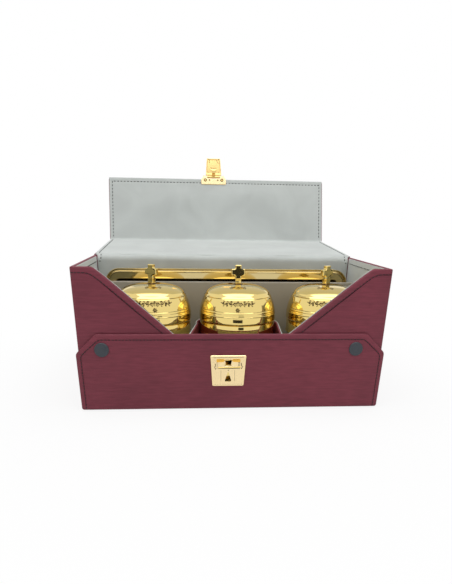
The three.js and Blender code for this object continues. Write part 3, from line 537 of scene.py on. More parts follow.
def ring_sides(first, rows, count):
    """The faces between rows of count points each, closed round, from point number first."""
    faces = []
    for row in range(rows - 1):
        for k in range(count):
            a, b = first + row * count + k, first + row * count + (k + 1) % count
            faces.append((a, b, b + count, a + count))
    return faces


def lofted(name, rings, material, smooth_deg=40):
    """A closed solid through rings with equal counts of 3-D points, capped at both ends."""
    count = len(rings[0])
    points = [p for ring in rings for p in ring]
    caps = [tuple(range(count)), tuple(range(len(points) - count, len(points)))]
    return build(name, points, caps + ring_sides(0, len(rings), count), material, smooth_deg)


def prism(name, outline, place, w0, w1, material):
    """A solid from an outline of (u, v) points, from w0 to w1 along the third direction of place."""
    return lofted(name, [[place(u, v, w) for u, v in outline] for w in (w0, w1)], material)


def block(name, low, high, material):
    outline = [(low[0], low[1]), (high[0], low[1]), (high[0], high[1]), (low[0], high[1])]
    return prism(name, outline, lambda u, v, w: (u, v, w), low[2], high[2], material)


def plate(name, corners, radius, profile, place, material, smooth_deg=40):
    """A plate with rounded corners and edges: one ring of its outline for each (inset, w) of its profile."""
    rings = []
    for inset, w in profile:
        outline = round_corners(inset_corners(corners, inset), radius)
        rings.append([place(u, v, w) for u, v in outline])
    return lofted(name, rings, material, smooth_deg)


def edge_profile(w0, w1, back, front):
    """A plate's edge from w0 to w1, rounded by back and front, as (inset, w) pairs.

    The last pair at each end keeps the shading of the flat face beyond it plain.
    """
    turn = [(1 - math.sin(a), 1 - math.cos(a)) for a in (k * math.pi / 8 for k in range(5))]
    sign = 1 if w1 > w0 else -1
    profile = [(back + 0.4, w0)] + [(i * back, w0 + sign * w * back) for i, w in turn]
    profile += [(i * front, w1 - sign * w * front) for i, w in reversed(turn)]
    return profile + [(front + 0.4, w1)]


def turned(name, profile, centre, material, segments=ROUND_SEGMENTS, smooth_deg=35):
    """A closed solid of revolution about the vertical axis through centre, from (radius, height) points."""
    points = []
    rows = []
    for r, z in profile:
        if r < 1e-6:
            rows.append([len(points)] * segments)
            points.append((centre[0], centre[1], centre[2] + z))
            continue
        rows.append(range(len(points), len(points) + segments))
        for i in range(segments):
            angle = i * math.tau / segments
            points.append((centre[0] + r * math.cos(angle), centre[1] + r * math.sin(angle), centre[2] + z))
    faces = []
    for low, high in zip(rows, rows[1:]):
        for i in range(segments):
            k = (i + 1) % segments
            face = tuple(dict.fromkeys([low[i], low[k], high[k], high[i]]))
            if len(face) > 2:
                faces.append(face)
    return build(name, points, faces, material, smooth_deg)


def tube(name, path, radius, material, sides=8):
    """A closed tube along points, with flat ends; its section keeps square to the path."""
    path = [Vector(p) for p in path]
    rings = []
    across = None
    for i, p in enumerate(path):
        along = (path[min(i + 1, len(path) - 1)] - path[max(i - 1, 0)]).normalized()
        if across is None:
            across = along.orthogonal().normalized()
        across = (across - along * across.dot(along)).normalized()
        up = along.cross(across)
        turns = [k * math.tau / sides for k in range(sides)]
        rings.append([p + (across * math.cos(a) + up * math.sin(a)) * radius for a in turns])
    return lofted(name, rings, material)


# Outlines and paths in a plane

def front_corners(node, y):
    """The corners that a CAD node has in the plane y, as (x, z) pairs."""
    points = [vertex.co / MM for vertex in frame["nodes"][node].data.vertices]
    return {(round(p.x, 3), round(p.z, 3)) for p in points if abs(p.y - y) < 0.01}


def inset_corners(corners, inset):
    """A closed outline's corners moved inward."""
    area = sum(a[0] * b[1] - b[0] * a[1] for a, b in zip(corners, corners[1:] + corners[:1]))
    ring = [corners[-1], *corners, corners[0]]
    return offset_path(ring, inset if area > 0 else -inset)[1:-1]


def round_corners(corners, radius, steps=5):
    """A closed outline with its corners rounded, as far as the edges beside them allow."""
    outline = []
    for before, corner, after in zip(corners[-1:] + corners[:-1], corners, corners[1:] + corners[:1]):
        corner = Vector(corner)
        back, ahead = Vector(before) - corner, Vector(after) - corner
        r = min(radius, back.length * 0.49, ahead.length * 0.49)
        a, b = back.normalized() * r, ahead.normalized() * r
        outline += [corner + a * (1 - k / steps) ** 2 + b * (k / steps) ** 2 for k in range(steps + 1)]
    return outline


def rounded_rect(half_u, v0, v1, r, u=0.0, steps=8):
    """A rectangle's outline with round corners, as wide as half_u to both sides of u, from v0 to v1."""
    points = []
    for cu, cv, start in ((u + half_u - r, v1 - r, 0), (u - half_u + r, v1 - r, 90),
                          (u - half_u + r, v0 + r, 180), (u + half_u - r, v0 + r, 270)):
        for k in range(steps + 1):
            a = math.radians(start + 90.0 * k / steps)
            points.append((cu + r * math.cos(a), cv + r * math.sin(a)))
    return points


def trapezoid(v0, half0, v1, half1):
    """An outline about u = 0, as wide as half0 to both sides at v0 and as half1 at v1."""
    return [(-half0, v0), (half0, v0), (half1, v1), (-half1, v1)]


def offset_path(path, distance):
    """An open path moved to its left by distance."""
    lines = []
    for (u0, v0), (u1, v1) in zip(path, path[1:]):
        along = Vector((u1 - u0, v1 - v0)).normalized()
        lines.append((Vector((u0, v0)) + Vector((-along.y, along.x)) * distance, along))
    moved = [lines[0][0]]
    for (p, a), (q, b) in zip(lines, lines[1:]):
        cross = a.x * b.y - a.y * b.x
        t = ((q.x - p.x) * b.y - (q.y - p.y) * b.x) / cross
        moved.append(p + a * t)
    last, along = lines[-1]
    moved.append(last + along * (Vector(path[-1]) - last).dot(along))
    return moved


def round_path(path, radius, steps=6):
    """An open path with its inner corners rounded."""
    rounded = [Vector(path[0])]
    for before, corner, after in zip(path, path[1:], path[2:]):
        a = (Vector(before) - Vector(corner)).normalized()
        b = (Vector(after) - Vector(corner)).normalized()
        for k in range(steps + 1):
            t = k / steps
            rounded.append(Vector(corner) + a * radius * (1 - t) ** 2 + b * radius * t ** 2)
    rounded.append(Vector(path[-1]))
    return rounded


def walk(path, pitch):
    """Evenly spaced (point, direction) pairs along a path, half a pitch in from its ends."""
    spots = []
    ahead = pitch / 2
    for p, q in zip(path, path[1:]):
        step = Vector(q) - Vector(p)
        length = step.length
        while ahead <= length:
            spots.append((Vector(p) + step * (ahead / length), step.normalized()))
            ahead += pitch
        ahead -= length
    return spots


# Seams

chance = random.Random(7)
STITCH_SIDES = 6
STITCH_SECTIONS = [
    (-1.0, 0.35, -0.3), (-0.7, 0.85, 0.0), (0.0, 1.0, 0.12), (0.7, 0.85, 0.0), (1.0, 0.35, -0.3),
]


def facing(*normal):
    """The same normal at every point."""
    return lambda p: normal


def seam(name, path, normal_at, material):
    """Stitches along a path of 3-D points: short threads whose ends dip into what they are sewn to.

    Each section of a stitch has its reach as a share of half the length, its width as a share of the
    thread's radius and its height.
    """
    points = []
    faces = []
    pitch, length, radius = LINING_STITCH if material == grey_thread else LEATHER_STITCH
    for spot, along in walk(path, pitch):
        up = Vector(normal_at(spot)).normalized()
        across = along.cross(up).normalized()
        slant = chance.uniform(-0.05, 0.13)
        half = length / 2 * chance.uniform(0.92, 1.06)
        line = (along + across * slant).normalized()
        side = line.cross(up).normalized()
        first = len(points)
        for reach, width, height in STITCH_SECTIONS:
            middle = spot + line * half * reach + up * height
            for k in range(STITCH_SIDES):
                angle = k * math.tau / STITCH_SIDES
                points.append(middle + (side * math.cos(angle) + up * math.sin(angle)) * radius * width)
        faces.append(tuple(range(first, first + STITCH_SIDES)))
        faces.append(tuple(range(len(points) - STITCH_SIDES, len(points))))
        faces += ring_sides(first, len(STITCH_SECTIONS), STITCH_SIDES)
    return build(name, points, faces, material, 180)


def seam_groove(paths):
    return [tube("cutter", path, GROOVE_R, leather) for path in paths]


# Case: one leather cover over all the boards, with the wide notch between its front wings

def wing_edges():
    """The notch's corners from left to right, along the wings' slanted edges and the sill."""
    tops = []
    lows = []
    for side, node in ((-1, "front_wing_left"), (1, "front_wing_right")):
        corners = front_corners(node, CASE_LOW.y)
        tops.append(min((p for p in corners if p[1] > CASE_HIGH.z - 1), key=lambda p: side * p[0]))
        lows.append(min(corners, key=lambda p: (round(side * p[0]), -p[1])))
    return tops[0], lows[0], lows[1], tops[1]


NOTCH = wing_edges()


def slope_on(a, b, z):
    return a[0] + (b[0] - a[0]) * (z - a[1]) / (b[1] - a[1])


def front_place(u, v, w):
    """A point of the case's front: across, up and out of it."""
    return (u, CASE_LOW.y - w, v)


def notch_cutter(drop, depth0, depth1):
    """The prism that opens the front wall; drop moves its sloped edges outward and down."""
    left_top, left_low, right_low, right_top = NOTCH
    high = CASE_HIGH.z + 12.0
    outline = [
        (left_low[0] - drop, SILL_TOP - drop), (right_low[0] + drop, SILL_TOP - drop),
        (right_low[0] + drop, right_low[1]),
        (slope_on(right_low, right_top, high) + drop, high),
        (slope_on(left_low, left_top, high) - drop, high),
        (left_low[0] - drop, left_low[1]),
    ]
    return prism("cutter", outline, front_place, -depth0, -depth1, leather)


def wing_seams():
    """Each wing's seam: along the top edge and then down beside the slanted edge."""
    seams = []
    left_top, left_low, right_low, right_top = NOTCH
    for corner, low, side in ((left_top, left_low, 1), (right_top, right_low, -1)):
        run = Vector((low[0] - corner[0], low[1] - corner[1])).normalized()
        inward = Vector((-run.y, run.x)) * -side
        top_z = CASE_HIGH.z - WING_SEAM_TOP
        start = Vector(corner) + inward * WING_SEAM_SIDE
        bend = start + run * ((top_z - start.y) / run.y)
        end = bend + run * (Vector(low) - Vector(corner)).length
        flat = round_path([Vector((side * (CASE_LOW.x + 0.6), top_z)), bend, end], 5.0)
        seams.append([Vector(front_place(p.x, p.y, SEAM_OVER)) for p in flat])
    return seams


def lean_out(obj, inside=LEAN_IN, outside=LEAN_OUT, top=CASE_HIGH.z):
    """Leans the sides out toward the top, by one amount on their insides and another on their outsides."""
    for vertex in obj.data.vertices:
        x, z = abs(vertex.co.x) / MM, vertex.co.z / MM
        t = min(max((x - LEAN_FROM_X) / (LINED_HIGH.x - LEAN_FROM_X), 0.0), 1.0)
        out = min(max((x - LINED_HIGH.x) / (CASE_HIGH.x - LINED_HIGH.x), 0.0), 1.0)
        most = (inside + (outside - inside) * out) * min(z / top, 1.0)
        vertex.co.x += math.copysign(most * t * t * (3 - 2 * t) * MM, vertex.co.x)
    obj.data.update()
    return obj


def spread_flap(obj):
    return lean_out(obj, FLAP_LEAN, FLAP_LEAN, FLAP_LEAN_TOP)


def make_case():
    cover = block("case_cover", CASE_LOW, CASE_HIGH, leather)
    inner_low = CASE_LOW + Vector((BOARD, BOARD, BOARD))
    inner_high = CASE_HIGH + Vector((-BOARD, -BOARD, BOARD * 3))
    carve(cover, block("cutter", inner_low, inner_high, leather))
    carve(cover, notch_cutter(0.0, -5.0, BOARD + 3.0))
    round_edges(cover, EDGE_R)
    slice_faces(cover, 12.0)
    seams = wing_seams()
    carve(cover, bend_cutter(inner_high.x), *seam_groove(seams))
    smooth(lean_out(cover), 35)
    finish_piece(cover, "root", "back_panel", "base_panel", "side_panel_left", "side_panel_right",
                 "front_wing_left", "front_wing_right", "front_sill")
    for side, path in zip(("left", "right"), seams):
        finish_piece(lean_out(seam(f"wing_seam_{side}", path, facing(0, -1, 0), thread)), "root")


def bend_cutter(half):
    """What the back wall's top edge loses to the lining's soft bend, between the side walls."""
    y, z = bend_centre()
    r = LID_BEND_R - SUEDE_T - 0.1
    arc = [(y - r * math.cos(k * math.pi / 20), z + r * math.sin(k * math.pi / 20)) for k in range(11)]
    outline = [(y - r - 4.0, z), *arc, (y, z + r + 4.0), (y - r - 4.0, z + r + 4.0)]
    return prism("cutter", outline, lambda u, v, w: (w, u, v), -half, half, leather)


def make_case_lining():
    """The suede on the base, the sides and the wings, as one skin that follows the notch."""
    low = CASE_LOW + Vector((1, 1, 1)) * (BOARD + LINING_GAP)
    high = Vector((-low.x, LINED_HIGH.y + 0.9, CASE_HIGH.z - LINING_DROP))
    lining = block("case_lining", low, high, suede)
    carve(lining, block("cutter", LINED_LOW, (LINED_HIGH.x, high.y + 5.0, high.z + 5.0), suede),
          notch_cutter(-0.3, BOARD - 2.0, BOARD + 5.0))
    round_edges(lining, 0.35, 2)
    slice_faces(lining, 20.0)
    smooth(lean_out(lining), 35)
    finish_piece(lining, "root", "lining_base", "lining_side_left", "lining_side_right",
                 "lining_wing_left", "lining_wing_right")
    z = CASE_HIGH.z - LINING_SEAM_DROP
    for side, x, inward in (("left", LINED_LOW.x, 1), ("right", LINED_HIGH.x, -1)):
        path = [(x, LINED_LOW.y + 1.0, z), (x, LINED_HIGH.y - 2.5, z)]
        finish_piece(lean_out(seam(f"side_seam_{side}", path, facing(inward, 0, 0), grey_thread)), "root")


# Soft skins across the lid's hinge and fold

def skin(name, stations, columns, thickness, height, material):
    """A closed skin over (point, normal) stations in the y-z plane and columns of x.

    height(x, k) raises the skin's face at column x and station k.
    """
    points = []
    rows = len(stations)
    width = len(columns)
    for face in (0, 1):
        for k, (p, n) in enumerate(stations):
            for x in columns:
                rise = height(x, k) if face == 0 else -thickness
                points.append(Vector((x, p[0], p[1])) + Vector((0, n[0], n[1])) * rise)
    faces = []
    back = rows * width
    for k in range(rows - 1):
        for i in range(width - 1):
            a = k * width + i
            faces.append((a, a + 1, a + 1 + width, a + width))
            faces.append((back + a, back + a + width, back + a + 1 + width, back + a + 1))
    rim = list(range(width))
    rim += [k * width + width - 1 for k in range(1, rows)]
    rim += [(rows - 1) * width + i for i in range(width - 2, -1, -1)]
    rim += [k * width for k in range(rows - 2, 0, -1)]
    for i, j in zip(rim, rim[1:] + rim[:1]):
        faces.append((i, j, back + j, back + i))
    return build(name, points, faces, material, 50)


def sheet_columns(half, seam_in, step=6.0):
    """Columns of x that crowd together at the edges and beside the seams."""
    fine = [0.0, 0.25, 0.7, 1.4] + [seam_in + d for d in (-1.0, -0.4, 0.0, 0.4, 1.0, 2.6)]
    left = [-half + d for d in fine]
    return left + spread(left[-1], -left[-1], step)[1:-1] + [-x for x in reversed(left)]


def edge_drop(d):
    """How far a sheet's face lies below its full height at a distance d from its edge."""
    return -SHEET_EDGE_R * (1 - min(d / SHEET_EDGE_R, 1.0)) ** 2


def seam_dip(d):
    """How far a seam at a distance d draws a sheet's face down."""
    return -SEAM_DIP * math.exp(-(d / 0.9) ** 2)


def swell(x, y, cx, cy, rx, ry, turn_deg):
    """A smooth bump of height 1 at (cx, cy), with radii rx and ry, turned in its plane."""
    a = math.radians(turn_deg)
    u = (x - cx) * math.cos(a) + (y - cy) * math.sin(a)
    v = -(x - cx) * math.sin(a) + (y - cy) * math.cos(a)
    return math.exp(-(u / rx) ** 2 - (v / ry) ** 2)


def along_board(axis, degrees, s, w):
    """The y and z of a point on a leaning board: s from its axis, w above it on the lining's side."""
    a = math.radians(degrees)
    return (axis.y + s * math.cos(a) - w * math.sin(a), axis.z + s * math.sin(a) + w * math.cos(a))


def along_lid(s, w):
    return along_board(HINGE, LID_REST_DEG, s, w)


def along_front(s, w):
    return along_board(FOLD, FRONT_REST_DEG, s, w)


def board_normal(degrees):
    """The direction out of a leaning board on the lining's side, as (y, z)."""
    a = math.radians(degrees)
    return (-math.sin(a), math.cos(a))


LID_UP = board_normal(LID_REST_DEG)
FRONT_UP = board_normal(FRONT_REST_DEG)
LID_DOWN = tuple(-c for c in LID_UP)
FRONT_DOWN = tuple(-c for c in FRONT_UP)


def arc_stations(centre, radius, start_deg, end_deg, steps, inward=False):
    """Stations round an arc; inward normals point to its centre."""
    stations = []
    sign = -1 if inward else 1
    for k in range(steps + 1):
        a = math.radians(start_deg + (end_deg - start_deg) * k / steps)
        out = (math.cos(a), math.sin(a))
        place = (centre[0] + out[0] * radius, centre[1] + out[1] * radius)
        stations.append((place, (out[0] * sign, out[1] * sign)))
    return stations


def bend_end():
    """How far along the lid the soft bend ends."""
    a = math.radians(LID_REST_DEG)
    touch_y = LINED_HIGH.y + LID_BEND_R * (1 - math.sin(a))
    return (touch_y - HINGE.y + LID_FACE * math.sin(a)) / math.cos(a)


def bend_centre():
    """The centre of the soft bend, where the lining leaves the back wall and runs on along the lid."""
    return along_lid(bend_end(), LID_FACE - LID_BEND_R)


def back_lining_stations():
    """From the case's floor up its back, over the soft bend and out along the lid."""
    centre = bend_centre()
    wall = [((LINED_HIGH.y, z), (-1.0, 0.0)) for z in spread(LINED_LOW.z + 0.1, centre[1], 7.0)[:-1]]
    bend = arc_stations(centre, LID_BEND_R, 180.0, 90.0 + LID_REST_DEG, 10)
    reaches = spread(bend_end(), LID_SPLIT_S, 3.5)[1:]
    lid = [(along_lid(s, LID_FACE), LID_UP) for s in reaches]
    return wall, bend, lid, reaches


def back_waves(x, k, wall, bend, reaches):
    """The slack of the suede where it comes over the bend."""
    if k < len(wall):
        return 0.0
    if k < len(wall) + len(bend):
        s = -11.0 * (1 - (k - len(wall)) / (len(bend) - 1))
    else:
        s = reaches[k - len(wall) - len(bend)]
    fade = math.exp(-((s - 2.0) / 16.0) ** 2)
    return fade * (0.35 * math.sin(x / 17.0 + s / 14.0) + 0.2 * math.sin(x / 7.3 - s / 6.0 + 1.0))


def centre_length(stations):
    """The length of a skin's face through its stations."""
    ends = [Vector(p) for p, n in stations]
    return sum((b - a).length for a, b in zip(ends, ends[1:]))


def make_back_lining():
    wall, bend, lid, reaches = back_lining_stations()
    stations = wall + bend + lid

    def height(x, k):
        d = LID_LINING_HALF - abs(x)
        rise = edge_drop(d)
        if k > len(wall) + 1:
            rise += seam_dip(d - LID_SEAM_SIDE)
        return rise + back_waves(x, k, wall, bend, reaches) * min(d / 20.0, 1.0)

    columns = sheet_columns(LID_LINING_HALF, LID_SEAM_SIDE)
    lining = skin("back_lining", stations, columns, SUEDE_T, height, suede)
    for vertex in lining.data.vertices:
        vertex.co.x *= hinge_width(vertex.co.y / MM, vertex.co.z / MM)
    lining.data.update()
    width, length = LID_LINING_HALF * 2 * MM, centre_length(stations) * MM
    z = HINGE.z + 0.5
    finish_blend(lining, ("root", "lid_top"), (HINGE.y - 3.0, z), (HINGE.y + 4.0, z), "lining_back")


def hinge_width(y, z):
    """The lining's width as a share of its width on the lid: least low in the case, between its sides."""
    t = min(max((y - HINGE.y) / LID_WIDEN_L, 0.0), 1.0)
    least = (LINED_HIGH.x - 0.4 + (LEAN_IN - 0.3) * min(z / CASE_HIGH.z, 1.0)) / LID_LINING_HALF
    over = min(max((z - CASE_HIGH.z + 0.3) / 1.2, 0.0), 1.0) * BEND_OVERLAP / LID_LINING_HALF
    return least + over + (1 - least - over) * t * t * (3 - 2 * t)


def crease_place():
    """Where the faces of the two boards' linings would meet, along the top board and along the front one."""
    turn = math.radians(FRONT_REST_DEG - LID_REST_DEG)
    lift = LID_FACE - FOLD_ON_LID.z
    on_front = (lift - FRONT_FACE * math.cos(turn)) / math.sin(turn)
    return FOLD_ON_LID.y + on_front * math.cos(turn) - FRONT_FACE * math.sin(turn), on_front


CREASE_S, CREASE_ON_FRONT = crease_place()


def fold_stations():
    """From the middle of the lid's top board, through the crease and up the front board to its free edge."""
    reach = CREASE_R * math.tan(math.radians((FRONT_REST_DEG - LID_REST_DEG) / 2))
    top = [(along_lid(s, LID_FACE), LID_UP) for s in spread(LID_SPLIT_S, CREASE_S - reach, 5.0)[:-1]]
    centre = along_lid(CREASE_S - reach, LID_FACE + CREASE_R)
    crease = arc_stations(centre, CREASE_R, LID_REST_DEG - 90.0, FRONT_REST_DEG - 90.0, 6, inward=True)
    ups = spread(CREASE_ON_FRONT + reach, FRONT_END - 9.0, 4.5)[1:]
    ups += [FRONT_END - d for d in (6.6, 5.9, 5.5, 5.1, 4.4, 3.0, 1.4, 0.7, 0.25, 0.0)]
    front = [(along_front(s, FRONT_FACE), FRONT_UP) for s in ups]
    return top, crease, front, ups


def front_waves(x, s):
    """The soft unevenness of the suede on the lid's front board."""
    rise = 1.1 * swell(x, s, 10, 66, 120, 16, 2) - 0.9 * swell(x, s, -5, 24, 110, 13, -3)
    rise += 0.5 * swell(x, s, -70, 52, 30, 14, 20) + 0.45 * swell(x, s, 90, 48, 34, 12, -24)
    rise += 0.7 * swell(x, s, -112, 9, 30, 3.2, 24) - 0.6 * swell(x, s, -100, 16, 30, 4.0, 22)
    rise += 0.6 * swell(x, s, 108, 14, 34, 3.4, -20) - 0.5 * swell(x, s, 98, 22, 34, 4.4, -18)
    rise += 0.25 * math.sin(x / 13.0 + s / 21.0) * math.exp(-((s - 8.0) / 10.0) ** 2)
    return rise * 1.4 if rise > 0 else rise * 0.5


def make_front_lining():
    top, crease, front, ups = fold_stations()
    stations = top + crease + front
    first_up = len(top) + len(crease)

    def height(x, k):
        d = LID_LINING_HALF - abs(x)
        rise = edge_drop(d)
        side = seam_dip(d - LID_SEAM_SIDE)
        if k < first_up:
            return rise + side
        s = ups[k - first_up]
        end = FRONT_END - s
        rise += edge_drop(end)
        calm = min(d / 14.0, 1.0) * min(end / 16.0, 1.0) * min(max(s - 4.0, 0.0) / 8.0, 1.0)
        if end > LID_SEAM_END - 0.5:
            rise += side
        if d > LID_SEAM_SIDE - 0.5:
            rise += seam_dip(end - LID_SEAM_END)
        return rise + front_waves(x, s) * calm

    columns = sheet_columns(LID_LINING_HALF, LID_SEAM_SIDE, 5.0)
    lining = skin("front_lining", stations, columns, SUEDE_T, height, suede)
    centre_length(stations) * MM
    finish_blend(lining, ("lid_top", "lid_front"), along_lid(CREASE_S - 2.5, LID_FACE),
                 along_front(5.5, FRONT_FACE), "lid_front_lining", "lid_top_lining")


def front_seam_path(start, w):
    """A seam's path on the front board: up one side, along the free edge and down the other side."""
    x = LID_LINING_HALF - LID_SEAM_SIDE
    end = FRONT_END - LID_SEAM_END
    return [(u, *along_front(s, w)) for u, s in ((-x, start), (-x, end), (x, end), (x, start))]


def make_lid_seams():
    path = front_seam_path(5.8, FRONT_FACE - SEAM_DIP)
    finish_piece(seam("lid_front_seam", path, facing(0, *FRONT_UP), grey_thread), "lid_front")
    x = LID_LINING_HALF - LID_SEAM_SIDE
    for side, name in ((-1, "left"), (1, "right")):
        reaches = spread(6.5, CREASE_S - 4.0, 4.0)
        path = [Vector((side * x, *along_lid(s, LID_FACE - SEAM_DIP))) for s in reaches]
        for p in path:
            p.x *= hinge_width(p.y, p.z)
        finish_piece(seam(f"lid_top_seam_{name}", path, facing(0, *LID_UP), grey_thread), "lid_top")
        finish_piece(seam(f"bend_seam_{name}", bend_seam_path(side), bend_normal, grey_thread), "root")


def bend_seam_path(side):
    """A seam that comes down the bend and turns out to the case's side."""
    y, z = bend_centre()
    in_case = LINED_HIGH.x - 0.4 + LEAN_IN - 0.4
    x = side * (LID_LINING_HALF - LID_SEAM_SIDE) * in_case / LID_LINING_HALF
    r = LID_BEND_R - SEAM_DIP
    turns = [math.radians(98.0 + 82.0 * k / 8) for k in range(9)]
    path = [(x, y + math.cos(a) * r, z + math.sin(a) * r) for a in turns]
    wall_y = LINED_HIGH.y + SEAM_DIP
    return path + [(x, wall_y, z - 0.6), (side * (in_case - 0.4), wall_y, z - 1.2)]


def bend_normal(p):
    y, z = bend_centre()
    if p.z < z:
        return (0, -1, 0)
    return (0, p.y - y, p.z - z)


# Lid boards under their leather

def make_lid_boards():
    """The leather over the two boards, and the leather that joins them and joins the lid to the case."""
    make_board_cover("lid_top", along_lid, 1.0, (2.2, FOLD_ON_LID.y - 4.4), (-LID_BOARD_T, -0.4))
    make_board_cover("lid_front", along_front, 3.5, (1.8, FRONT_END), (0.0, 2.1))
    make_outer_seams()
    make_fold_leather()
    make_hinge_leather()
    make_hinge_roll()


def make_board_cover(body, place, radius, run, depth):
    """One board's leather, over its run from the board's axis and its depth toward the lining."""
    corners = trapezoid(run[0], LID_HALF, run[1], LID_HALF)
    cover = plate(f"{body}_cover", corners, radius, edge_profile(*depth, 1.1, 0.6),
                  lambda u, v, w: (u, *place(v, w)), leather)
    slice_faces(cover, 15.0)
    finish_piece(smooth(cover), body, f"{body}_panel")


def make_outer_seams():
    path = front_seam_path(4.0, -0.05)
    finish_piece(seam("lid_front_outer_seam", path, facing(0, *FRONT_DOWN), thread), "lid_front")
    x = LID_LINING_HALF - LID_SEAM_SIDE
    for side, name in ((-1, "left"), (1, "right")):
        path = [(side * x, *along_lid(s, -LID_BOARD_T - 0.05)) for s in (6.0, FOLD_ON_LID.y - 7.0)]
        finish_piece(seam(f"lid_top_outer_seam_{name}", path, facing(0, *LID_DOWN), thread), "lid_top")


def make_strip(name, stations, rises, half, thickness):
    """A leather strip over stations, raised by one amount at each."""
    return skin(name, stations, spread(-half, half, 12.0), thickness, lambda x, k: rises[k], leather)


def make_fold_leather():
    """The strip of leather round the outside of the fold."""
    s, base = FOLD_ON_LID.y, FOLD_ON_LID.z
    before = [(along_lid(s - d, base + 0.25), LID_DOWN) for d in (6.5, 4.6, 2.5)]
    after = [(along_front(d, 0.25), FRONT_DOWN) for d in (2.5, 4.6, 6.5)]
    bend = arc_stations((FOLD.y, FOLD.z), 0.25, LID_REST_DEG - 90.0, FRONT_REST_DEG - 90.0, 8)
    stations = before + bend + after
    rises = [0.02] + [0.35] * (len(stations) - 2) + [0.02]
    strip = make_strip("lid_fold_leather", stations, rises, LID_HALF - 0.3, 0.7)
    finish_blend(strip, ("lid_top", "lid_front"), along_lid(s - 2.5, base), along_front(2.5, 0.0),
                 "lid_fold_roll")


def make_hinge_leather():
    """The strip of leather from the case's back, round the hinge's axis, to the lid's underside."""
    wall = [((CASE_HIGH.y, HINGE.z - d), (1.0, 0.0)) for d in (12.0, 8.5, 5.5)]
    bend = arc_stations((HINGE.y, HINGE.z), 3.7, -100.0, -68.0, 6)
    lid = [(along_lid(s, -LID_BOARD_T), LID_DOWN) for s in (5.5, 9.0, 12.5)]
    rises = [0.02, 0.3, 0.35] + [0.35] * len(bend) + [0.35, 0.3, 0.02]
    strip = make_strip("lid_hinge_leather", wall + bend + lid, rises, CASE_HIGH.x - 1.5, 0.6)
    finish_blend(strip, ("root", "lid_top"), (HINGE.y - 0.6, HINGE.z - 3.7), (HINGE.y + 1.6, HINGE.z - 3.4))


def make_hinge_roll():
    """The cord that the lining turns over, which shows at its ends."""
    low, high = limits("lid_hinge_roll")
    path = [(x, HINGE.y, HINGE.z - 0.2) for x in (low.x + 0.5, low.x + 1.0, high.x - 1.0, high.x - 0.5)]
    finish_piece(tube("lid_hinge_cord", path, (high.z - low.z) * 0.45, suede, 16), "root", "lid_hinge_roll")


# Flap

def flap_corners():
    """The flap's chamfered outline without its roundings, from the lower left corner upward and round."""
    outline = front_corners("flap_panel", FLAP_LOW.y)
    half = FLAP_HIGH.x
    top = FLAP_HIGH.z
    shoulder = max(v for u, v in outline if abs(u) > half - 0.05)
    run = max(abs(u) for u, v in outline if v > top - 0.05)
    right = [(run, top), (half, shoulder), (half, FLAP_LOW.z)]
    return [(-u, v) for u, v in reversed(right)] + right


def flap_place(u, v, w):
    """A point of the flap's front: across, up and out of it."""
    return (u, FLAP_LOW.y - w, v)


def lock_window(front_y, material):
    """The cutter for the opening that the lock's case passes through."""
    low, high = limits("lock_case")
    low = (low.x - 0.3, front_y, low.z - 0.3)
    return block("cutter", low, (high.x + 0.3, FLAP_BACK + 1, high.z + 0.3), material)


def flap_seam_path(corners):
    side = offset_path(corners, -FLAP_SEAM_SIDE)
    top_z = FLAP_HIGH.z - FLAP_SEAM_TOP
    flat = round_path([Vector((p.x, min(p.y, top_z))) for p in side], 3.0)
    path = [Vector(flap_place(p.x, p.y, SEAM_OVER)) for p in flat]
    path[0].z += 1.0
    path[-1].z += 1.0
    return path


def make_flap():
    """The flap's leather, which swells softly from its edges, with its seam, its lining and its hinge."""
    corners = flap_corners()
    back = FLAP_LOW.y - FLAP_HIGH.y
    profile = [(0.7, back), (0.3, back), (0.05, back + 0.2), (0.0, -1.6), (0.25, -1.1), (0.8, -0.75),
               (2.0, -0.38), (3.4, -0.12), (4.5, 0.0), (5.0, 0.0)]
    cover = plate("flap_cover", corners, 2.5, profile, flap_place, leather)
    slice_faces(cover, 10.0)
    path = flap_seam_path(corners)
    carve(cover, lock_window(FLAP_LOW.y - 1, leather), *seam_groove([path]))
    finish_piece(smooth(spread_flap(cover), 35), "flap", "flap_panel")
    finish_piece(spread_flap(seam("flap_seam", path, facing(0, -1, 0), thread)), "flap")
    make_flap_lining(corners)
    make_flap_hinge()


def make_flap_lining(corners):
    profile = edge_profile(FLAP_HIGH.y, FLAP_BACK, 0.05, 0.4)
    corners = inset_corners(corners, limits("flap_lining")[0].x - FLAP_LOW.x + 0.1)
    lining = plate("flap_suede", corners, 2.5, profile, lambda u, v, w: (u, w, v), suede)
    slice_faces(lining, 20.0)
    cutters = [lock_window(FLAP_LOW.y, suede)]
    for side in ("left", "right"):
        low, high = limits(f"snap_socket_{side}")
        centre = (low + high) / 2
        path = [(centre.x, FLAP_LOW.y + 0.5, centre.z), (centre.x, FLAP_BACK + 1, centre.z)]
        cutters.append(tube("cutter", path, (high.x - low.x) / 2 + 0.25, suede, 32))
    carve(lining, *cutters)
    finish_piece(smooth(spread_flap(lining), 35), "flap", "flap_lining")


def make_flap_hinge():
    """The leather that the flap swings on, from under the case to the flap's foot."""
    places = [(CASE_LOW.y + 3.0, 0.35), (CASE_LOW.y + 0.4, 0.4), (FLAP_BACK + 0.05, 0.55),
              (FLAP_BACK - 1.4, 0.6), (FLAP_LOW.y + 1.2, 0.6)]
    stations = [(place, (0.0, -1.0)) for place in places]
    strip = make_strip("flap_hinge_leather", stations, [0.2] * len(stations), CASE_HIGH.x - 6.0, 0.3)
    finish_blend(strip, ("root", "flap"), (CASE_LOW.y - 0.1, 0.4), (FLAP_LOW.y + 1.5, 0.5))


# Divider and partition

def make_divider():
    """The wall that wraps the middle vessel: leather inside, suede outside and over its top edge."""
    paint("divider_wall", leather)
    paint("divider_suede", suede)


